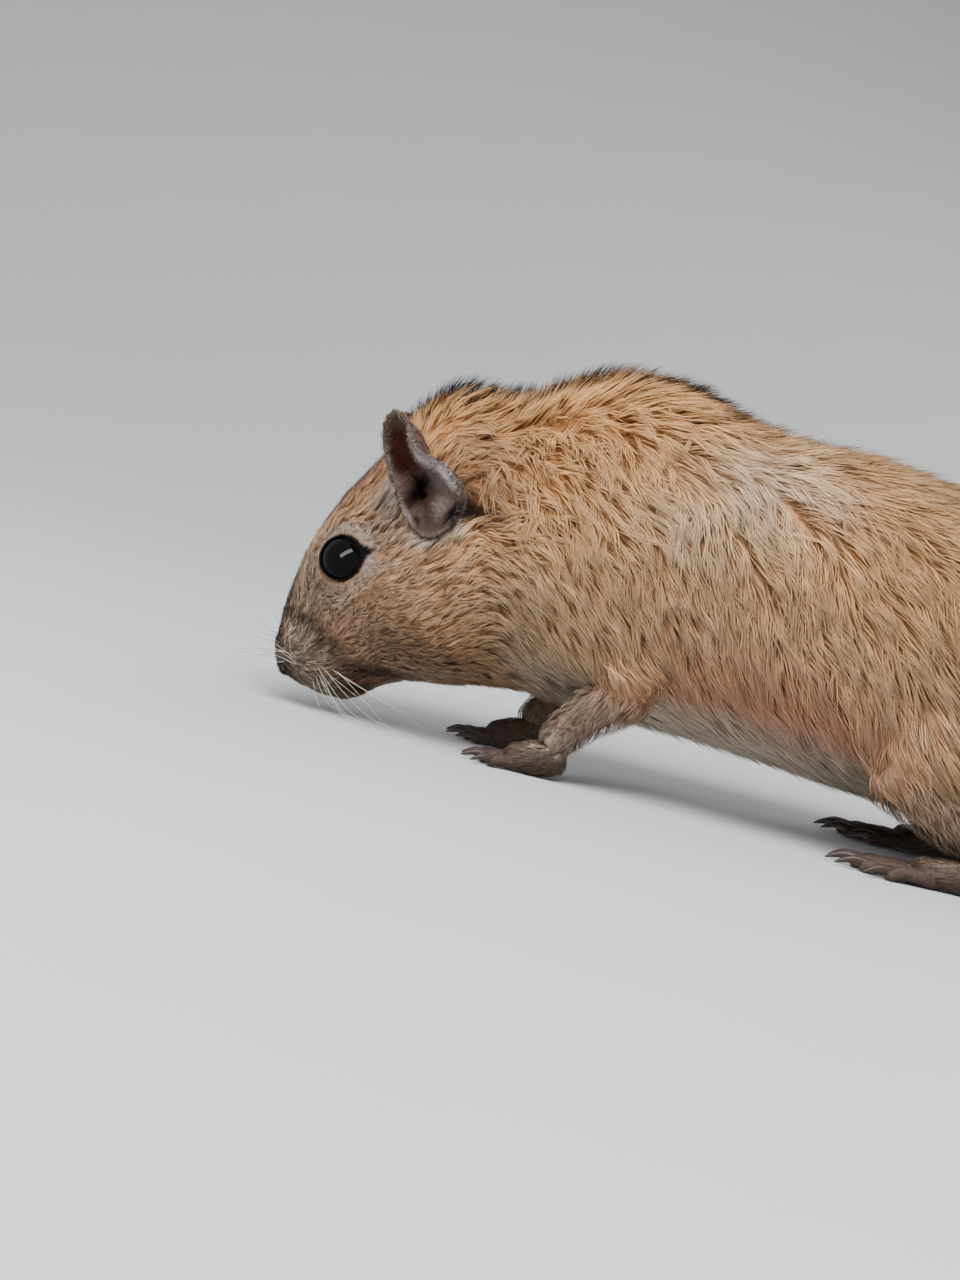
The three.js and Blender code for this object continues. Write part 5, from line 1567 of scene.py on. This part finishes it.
@dataclass(frozen=True)
class Finish:
    """A procedural surface: colour from an attribute or a plain tint, broken by noise, with a fine bump."""

    name: str
    roughness: float
    specular: float = 0.3
    attribute: str | None = None
    colour: str = "808080"
    grain: float = 900.0
    mottle: float = 0.25
    bump: float = 0.0
    normal: str | None = None

    def material(self) -> bpy.types.Material:
        """Builds the node tree: a mottling group into the base colour, a grain group into the normal."""
        look = bpy.data.materials.new(self.name)
        look.use_nodes = True
        tree = look.node_tree
        shader = tree.nodes["Principled BSDF"]
        shader.inputs["Roughness"].default_value = self.roughness
        shader.inputs["Specular IOR Level"].default_value = self.specular
        mottle = tree.nodes.new("ShaderNodeGroup")
        mottle.node_tree = mottling()
        mottle.inputs["Grain"].default_value = self.grain
        mottle.inputs["Strength"].default_value = self.mottle
        where = tree.nodes.new("ShaderNodeTexCoord")
        tree.links.new(where.outputs["Object"], mottle.inputs["Place"])
        if self.attribute:
            colour = tree.nodes.new("ShaderNodeAttribute")
            colour.attribute_name = self.attribute
            tree.links.new(colour.outputs["Color"], mottle.inputs["Colour"])
        else:
            mottle.inputs["Colour"].default_value = (*tint(self.colour), 1)
        tree.links.new(mottle.outputs["Colour"], shader.inputs["Base Color"])
        if self.normal:
            facing = tree.nodes.new("ShaderNodeAttribute")
            facing.attribute_name = self.normal
            tree.links.new(facing.outputs["Vector"], shader.inputs["Normal"])
        if self.bump:
            bump = tree.nodes.new("ShaderNodeBump")
            bump.inputs["Strength"].default_value = self.bump
            bump.inputs["Distance"].default_value = 0.0002
            tree.links.new(mottle.outputs["Height"], bump.inputs["Height"])
            tree.links.new(bump.outputs["Normal"], shader.inputs["Normal"])
        return look


def mottling() -> bpy.types.NodeTree:
    """Node group: breaks a colour with two sizes of noise, and gives the noise as a height."""
    name = "Mottling"
    if name in bpy.data.node_groups:
        return bpy.data.node_groups[name]
    tree = bpy.data.node_groups.new(name, "ShaderNodeTree")
    for label, kind, way in (
        ("Place", "NodeSocketVector", "INPUT"), ("Colour", "NodeSocketColor", "INPUT"),
        ("Grain", "NodeSocketFloat", "INPUT"), ("Strength", "NodeSocketFloat", "INPUT"),
        ("Colour", "NodeSocketColor", "OUTPUT"), ("Height", "NodeSocketFloat", "OUTPUT"),
    ):
        tree.interface.new_socket(name=label, in_out=way, socket_type=kind)
    start, end = tree.nodes.new("NodeGroupInput"), tree.nodes.new("NodeGroupOutput")
    noise = tree.nodes.new("ShaderNodeTexNoise")
    noise.inputs["Detail"].default_value = 3.0
    tree.links.new(start.outputs["Place"], noise.inputs["Vector"])
    tree.links.new(start.outputs["Grain"], noise.inputs["Scale"])
    swing = tree.nodes.new("ShaderNodeMath")
    swing.operation = "SUBTRACT"
    swing.inputs[1].default_value = 0.5
    tree.links.new(noise.outputs["Fac"], swing.inputs[0])
    amount = tree.nodes.new("ShaderNodeMath")
    amount.operation = "MULTIPLY_ADD"
    amount.inputs[2].default_value = 1.0
    tree.links.new(swing.outputs[0], amount.inputs[0])
    tree.links.new(start.outputs["Strength"], amount.inputs[1])
    mix = tree.nodes.new("ShaderNodeVectorMath")
    mix.operation = "SCALE"
    tree.links.new(start.outputs["Colour"], mix.inputs[0])
    tree.links.new(amount.outputs[0], mix.inputs["Scale"])
    tree.links.new(mix.outputs[0], end.inputs["Colour"])
    tree.links.new(noise.outputs["Fac"], end.inputs["Height"])
    return tree


@dataclass
class Eyes:
    """The eyeballs: dark, wet and round, each a sphere of rings about its own axis with a slight cornea."""

    look: bpy.types.Material
    rings: int = 40
    columns: int = 56

    def build(self) -> None:
        """One eyeball for each side, in place of the CAD's."""
        for name, side in SIDES.items():
            centre, axis, lengthwise, crosswise = Lids(side).frame()
            polar = np.linspace(0, np.pi, self.rings + 1)[:, None]
            angle = (2 * np.pi * np.arange(self.columns) / self.columns)[None]
            radius = EYE_RADIUS + 0.10 * np.exp(-((polar / 0.75) ** 4))
            flat = (radius * np.sin(polar))[..., None]
            grid = centre + (radius * np.cos(polar))[..., None] * axis + flat * (
                lengthwise * np.cos(angle)[..., None] + crosswise * np.sin(angle)[..., None]
            )
            piece = add_tubes(f"eyeball_{name}", grid)
            piece.data.materials.append(self.look)
            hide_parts(f"eye_{name}")
            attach(piece, "root")


@dataclass
class Claws:
    """Curved horn claws, one piece for each paw."""

    look: bpy.types.Material
    columns: int = 14

    def build(self) -> None:
        """Lofts each claw along its rows and joins those of a paw into one piece."""
        for name, side in SIDES.items():
            for label, toes, stride in zip(("fore", "hind"), (FORE_TOES, HIND_TOES), STRIDE[name]):
                grids = []
                for k in range(len(toes.length)):
                    rows = toes.rows(k, side, stride)[1]
                    grids.append(Limb("claw", rows, rings=22, columns=self.columns).chart().skin)
                piece = add_tubes(f"claws_{label}_{name}", *grids)
                piece.data.materials.append(self.look)
                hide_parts(*(f"claw_{label}_{name}_{k + 1}" for k in range(len(grids))))
                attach(piece, "root")


@dataclass(frozen=True)
class Fan:
    """A group of whiskers, its values as ranges. A pitch of 0 points back, 90 up and 180 ahead."""

    count: int
    place: tuple[float, float]
    turn: tuple[float, float]
    pitch: tuple[float, float]
    outward: tuple[float, float]
    length: tuple[float, float]
    pale: float
    radius: float


@dataclass
class Whiskers:
    """Long tapering bristles that fan from the whisker pads, arching under their own weight."""

    trunk: Trunk
    look: bpy.types.Material
    fans: tuple[Fan, ...] = (
        Fan(12, (1.8, 0.0), (0.24, 0.31), (140, 200), (0.4, 0.8), (8.0, 14.0), 0.35, 0.024),
        Fan(13, (1.6, 3.8), (0.27, 0.335), (-66, 2), (0.35, 0.9), (8.0, 16.0), 0.85, 0.018),
        Fan(6, (2.4, 0.8), (0.24, 0.30), (30, 120), (0.9, 1.3), (8.0, 13.0), 0.3, 0.017),
    )
    nodes: int = 16
    seed: int = 11

    def build(self) -> None:
        """Each whisker is start + way x s + droop x s^2, a tube of four sides that thins to its tip."""
        rng = np.random.default_rng(self.seed)
        grids, colours = [], []
        for side in SIDES.values():
            for fan in self.fans:
                share = (np.arange(fan.count) + rng.uniform(0.2, 0.8, fan.count)) / fan.count
                low, high = np.array([fan.place, fan.turn, fan.pitch, fan.outward, fan.length]).T
                drawn = rng.uniform(0, 1, (fan.count, 5))
                drawn[:, 0] = 0.75 * share + 0.25 * drawn[:, 0]
                drawn[:, 2] = share
                place, turn, pitch, out, long = (low + (high - low) * drawn).T
                start, normal = self.trunk.outline(place, turn)
                start = (start - normal * 0.6) * [1, side, 1]
                pitch = np.radians(pitch)
                way = unit(np.stack([np.cos(pitch), out, np.sin(pitch)], -1)) * [1, side, 1]
                s = np.linspace(0, 1, self.nodes)
                onward, droop = rng.uniform(0.1, 0.4, fan.count), rng.uniform(-0.3, 0.0, fan.count)
                bend = np.stack([onward, 0 * out, droop], -1)
                line = start[:, None] + long[:, None, None] * (
                    way[:, None] * s[:, None] + bend[:, None] * s[:, None] ** 2
                )
                floor = 0.5 + 0.6 * rng.uniform(0, 1, (fan.count, 1))
                line[..., 2] = floor + np.log1p(np.exp((line[..., 2] - floor) * 1.2)) / 1.2
                grids += list(self.tubes(line, fan.radius))
                pale = rng.uniform(0, 1, fan.count) < fan.pale
                colours += [tint("e4ddd2") if p else tint("40352e") for p in pale]
        piece = add_tubes("whiskers", *grids)
        size = 2 + (self.nodes - 2) * 4
        colour_points(piece.data, np.repeat(np.array(colours), size, 0))
        piece.data.materials.append(self.look)
        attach(piece, "root")

    def tubes(self, line: Array, radius: float) -> Array:
        """Four-sided tubes round lines, thinning towards their tips."""
        s = np.linspace(0, 1, self.nodes)
        ahead = unit(np.gradient(line, axis=1))
        across = unit(np.cross(ahead, [0.0, 0.0, 1.0]))
        upward = np.cross(across, ahead)
        girth = np.tile((radius * (1 - 0.85 * s))[None, :, None, None], (len(line), 1, 1, 1))
        girth[:, [0, -1]] *= 0.02
        angle = (2 * np.pi * np.arange(4) / 4)[None, None, :, None]
        ring = across[:, :, None] * np.cos(angle) + upward[:, :, None] * np.sin(angle)
        return line[:, :, None] + girth * ring


@dataclass
class Studio:
    """The camera at the photo's angle, soft lights, and a pale floor that runs up into a backdrop."""

    target: tuple[float, float, float] = (-5.1, -8.0, 13.3)
    distance: float = 330.0
    elevation: float = 4.0
    roll: float = 15.0
    frame_height: float = 147.13

    def camera(self) -> None:
        """A long lens on the animal's left, rolled so that the body slopes as in the photo."""
        lens = bpy.data.cameras.new("camera")
        lens.sensor_fit = "VERTICAL"
        lens.sensor_height = 36.0
        lens.lens = 36.0 * self.distance / self.frame_height
        lens.clip_start = 0.01
        thing = bpy.data.objects.new("camera", lens)
        bpy.context.scene.collection.objects.link(thing)
        tilt = math.radians(self.elevation)
        away = Vector((0, -math.cos(tilt), math.sin(tilt)))
        target = Vector(place_in_scene(np.array(self.target)))
        look = (-away).to_track_quat("-Z", "Y").to_matrix().to_4x4()
        turned = look @ Matrix.Rotation(math.radians(self.roll), 4, "Z")
        thing.matrix_world = Matrix.Translation(target + away * self.distance * MM) @ turned
        bpy.context.scene.camera = thing

    def light(
        self, name: str, at: tuple[float, float, float], size: tuple[float, float], power: float, tone: str,
        mirrored: bool = False, long_way: tuple[float, float, float] = (1.0, 0.0, 0.0),
    ) -> None:
        """A soft rectangular light aimed at the animal's head.

        Args:
            name: of the light.
            at: its place in metres.
            size: its length and height in metres.
            power: in watts.
            tone: its colour.
            mirrored: whether wet surfaces show it.
            long_way: the way that its length runs.
        """
        lamp = bpy.data.lights.new(name, "AREA")
        lamp.shape = "RECTANGLE"
        lamp.size, lamp.size_y = size
        lamp.energy = power
        lamp.color = tint(tone)
        thing = bpy.data.objects.new(name, lamp)
        bpy.context.scene.collection.objects.link(thing)
        back = (Vector(at) - Vector(place_in_scene(np.array([-15.0, 0.0, 16.0])))).normalized()
        right = Vector(long_way)
        right = (right - back * right.dot(back)).normalized()
        turned = Matrix((right, back.cross(right), back)).transposed().to_4x4()
        thing.matrix_world = Matrix.Translation(at) @ turned
        thing.visible_glossy = mirrored

    def backdrop(self) -> None:
        """A floor that sweeps up behind in one wide curve, so that no edge shows."""
        radius, width, front, back = 1.6, 4.0, -2.5, 0.25
        bend = np.linspace(0, np.pi / 2, 40)
        y = np.concatenate([[front], back + radius * np.sin(bend), [back + radius]])
        z = np.concatenate([[0], radius * (1 - np.cos(bend)), [3.4]])
        x = np.linspace(-width, width, 5)
        points = np.stack([np.tile(x, len(y)), np.repeat(y, 5), np.repeat(z, 5)], -1)
        low = 5 * np.arange(len(y) - 1)[:, None] + np.arange(4)
        quads = np.stack([low, low + 1, low + 6, low + 5], -1).reshape(-1, 4)
        sweep = new_object("backdrop", points / MM - SHIFT, [quads])
        paper = Finish("Backdrop_paper", 0.9, colour="c3c4c3", grain=40, mottle=0.04).material()
        sweep.data.materials.append(paper)
        sweep.visible_glossy = False

    def build(self) -> None:
        """Camera, floor, lights and an even grey-white surrounding."""
        self.camera()
        self.backdrop()
        self.light("window", (-0.1, -0.6, 0.75), (0.7, 0.7), 8.5, "fff6ea")
        self.light("fill", (-0.8, -0.5, 0.3), (0.9, 0.9), 4.5, "f2f6ff")
        self.light("rim", (0.4, 0.6, 0.7), (0.6, 0.6), 4.0, "ffffff")
        self.light("glint", (-0.088, -0.411, 0.368), (0.8, 0.15), 4.8, "eaf2ff", True, (0.588, 0.0, 0.809))
        world = bpy.data.worlds.new("studio")
        world.use_nodes = True
        world.node_tree.nodes["Background"].inputs["Color"].default_value = (0.82, 0.85, 0.88, 1)
        world.node_tree.nodes["Background"].inputs["Strength"].default_value = 0.6
        bpy.context.scene.world = world


FLESH = (
    "head", "neck", "chest", "loin", "rump", "ear_left", "ear_right",
    *(f"foreleg_{s}_{p}" for s in SIDES for p in ("upper", "lower")), *(f"forepaw_{s}" for s in SIDES),
    *(f"hindleg_{s}_{p}" for s in SIDES for p in ("thigh", "shank")), *(f"hindfoot_{s}" for s in SIDES),
    *(f"tail_{k}" for k in range(1, 6)),
)


def limb_charts() -> tuple[list[Chart], list[Chart]]:
    """Charts of legs and paws, and of the digits, on both sides."""
    legs, digits = [], []
    for name, side in SIDES.items():
        fore, hind = STRIDE[name]
        shoulder, hip = (0.8, 0.0, -0.8), (0.8, 0.0, -0.6)
        forearm, shin = (-0.3, 0.0, -0.95), (0.7, 0.0, -0.7)
        parts = (
            ("foreleg_upper", FORELEG["upper"], fore, 0.82, 5.2, 0.064, Kind.SANDY, 0.0, shoulder),
            ("foreleg_lower", FORELEG["lower"], fore, 0.64, 2.0, 0.044, Kind.LEG, 0.9, forearm),
            ("forepaw", FORELEG["paw"], fore, 0.48, 1.4, 0.038, Kind.FOOT, 1.0, None),
            ("thigh", HINDLEG["thigh"], hind, 0.96, 6.2, 0.072, Kind.SANDY, 0.0, hip),
            ("shank", HINDLEG["shank"], hind, 0.78, 2.6, 0.054, Kind.LEG, 0.85, shin),
            ("hindfoot", HINDLEG["foot"], hind, 0.60, 1.6, 0.042, Kind.FOOT, 1.0, None),
        )
        for label, rows, stride, spacing, length, width, kind, share, way in parts:
            sided = np.array(rows) * [1, side, 1, 1, 1, 1] + [stride, 0, 0, 0, 0, 0]
            limb = Limb(
                f"{label}_{name}", sided, spacing, length, width, kind, share, rings=40, columns=40, way=way,
                blend=0.5 if label in ("foreleg_lower", "shank") else 0.0,
            )
            legs.append(limb.chart())
        for toes, stride in ((FORE_TOES, fore), (HIND_TOES, hind)):
            for k in range(len(toes.length)):
                rows = toes.rows(k, side, stride)[0]
                digits.append(Limb(f"digit_{name}", rows, 0.5, 0.6, 0.032, Kind.FOOT, 1.0, 24, 20).chart())
    return legs, digits


def finish_piece(piece: bpy.types.Object) -> None:
    """Makes a coat piece ride on the body."""
    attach(piece, "root")


def cover_trunk(body: Chart, outer: BVHTree, look: bpy.types.Material) -> None:
    """The coat of head and body from nose to tail, in pieces of no more than PIECE_LIMIT triangles.

    Args:
        body: the trunk's chart.
        outer: the united skin.
        look: the hair's material.
    """
    number = 0
    for label, start, end, mottle, lump, ridged in (
        ("face", -1, 8, 0.24, 1.1, 0.14),
        ("nape", 8, 14, 0.10, 2.4, 0.06),
        ("back", 14, 30, 0.08, 2.8, 0.06),
    ):
        rows = tuple(int(row) for row in np.searchsorted(TRUNK_PLACES, (start, end)))
        coat = Coat(body, 7, seed=3, rows_used=rows, mottle=mottle, lump=lump, ridged=ridged)
        made = coat.tufts(outer)
        order = np.argsort(made[2][:, 0, 1], kind="stable")
        parts = math.ceil(len(order) * len(coat.faces(1)) / PIECE_LIMIT)
        for chunk in np.array_split(order, parts):
            number += 1
            batch = (*(part[chunk] for part in made), coat.faces(len(chunk)))
            finish_piece(add_hair_piece(f"coat_{label}_{number}", [batch], look))


def cover(
    label: str, charts: list[Chart], hairs: int, slot: str, outer: BVHTree | None, look: bpy.types.Material,
    **settings: float,
) -> None:
    """One coat piece over several charts, each with its own square of the OFBake map.

    Args:
        label: of the piece, after "coat_".
        charts: what it covers.
        hairs: of each tuft.
        slot: not used.
        outer: the united skin, or None where no root can be covered.
        look: the hair's material.
        settings: values of Coat that differ from its own.
    """
    columns = math.ceil(math.sqrt(len(charts)))
    batches = []
    for k, chart in enumerate(charts):
        coat = Coat(chart, hairs, seed=20 + k, **settings)
        points, colours, uv, soft = coat.tufts(outer)
        uv = np.array([k % columns, k // columns]) / columns + (0.01 + 0.97 * uv) / columns
        batches.append((points, colours, uv, soft, coat.faces(len(points))))
    finish_piece(add_hair_piece(f"coat_{label}", batches, look))


def main() -> None:
    """Builds the stage, the skin, the coat and the separate pieces, in that order."""
    logging.basicConfig(level=logging.INFO, format="%(message)s")
    Studio().build()
    hair = Finish("Hair", 0.6, 0.2, attribute="coat", grain=600, mottle=0.2, normal="lay").material()
    flesh = Finish("Skin", 0.7, 0.12, attribute="coat", grain=1500, mottle=0.35, bump=0.5).material()
    bristle = Finish("Whisker", 0.35, 0.5, attribute="coat", grain=300, mottle=0.1).material()
    wet = Finish("Eye", 0.04, 0.22, colour="040303", grain=250, mottle=0.5).material()
    horn = Finish("Claw", 0.35, 0.45, colour="3a2c26", grain=700, mottle=0.5, bump=0.2).material()

    trunk = Trunk()
    body = trunk.chart()
    legs, digits = limb_charts()
    lift_over(body, [
        np.array(rows) * [1, side, 1, 1, 1, 1] + [STRIDE[name][k], 0, 0, 0, 0, 0]
        for name, side in SIDES.items() for k, rows in enumerate((FORELEG["upper"], HINDLEG["thigh"]))
    ])
    tail = Tail().chart()
    ears = [Ear(side) for side in SIDES.values()]
    skin = Skin(body, [*legs, *digits, tail], ears)
    surface = skin.build()
    skin.dress(surface)
    surface.data.materials.append(flesh)
    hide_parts(*FLESH)
    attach(surface, "root")

    outer = BVHTree.FromObject(surface, bpy.context.evaluated_depsgraph_get())

    forelegs = [leg for leg in legs if leg.name.startswith("fore")]
    hindlegs = [leg for leg in legs if not leg.name.startswith("fore")]
    down = {"soften": 0.6, "lock": 0.0, "comb": 0.4, "speckle": 0.16, "relief": 0.1}
    cover_trunk(body, outer, hair)
    cover("guard", [trunk.guard_hairs(body)], 4, "coat", outer, hair)
    cover("forelegs", forelegs, 4, "coat", outer, hair, speckle=0.18)
    cover("hindlegs", hindlegs, 4, "coat", outer, hair, speckle=0.18)
    cover("toes", digits, 3, "paw", outer, hair, speckle=0.18)
    cover("tail", [tail], 6, "tail", outer, hair)
    cover("ears", [ear.chart() for ear in ears], 3, "ear", None, hair, **down)

    Eyes(wet).build()
    Claws(horn).build()
    Whiskers(trunk, bristle).build()


if __name__ == "__main__":
    main()
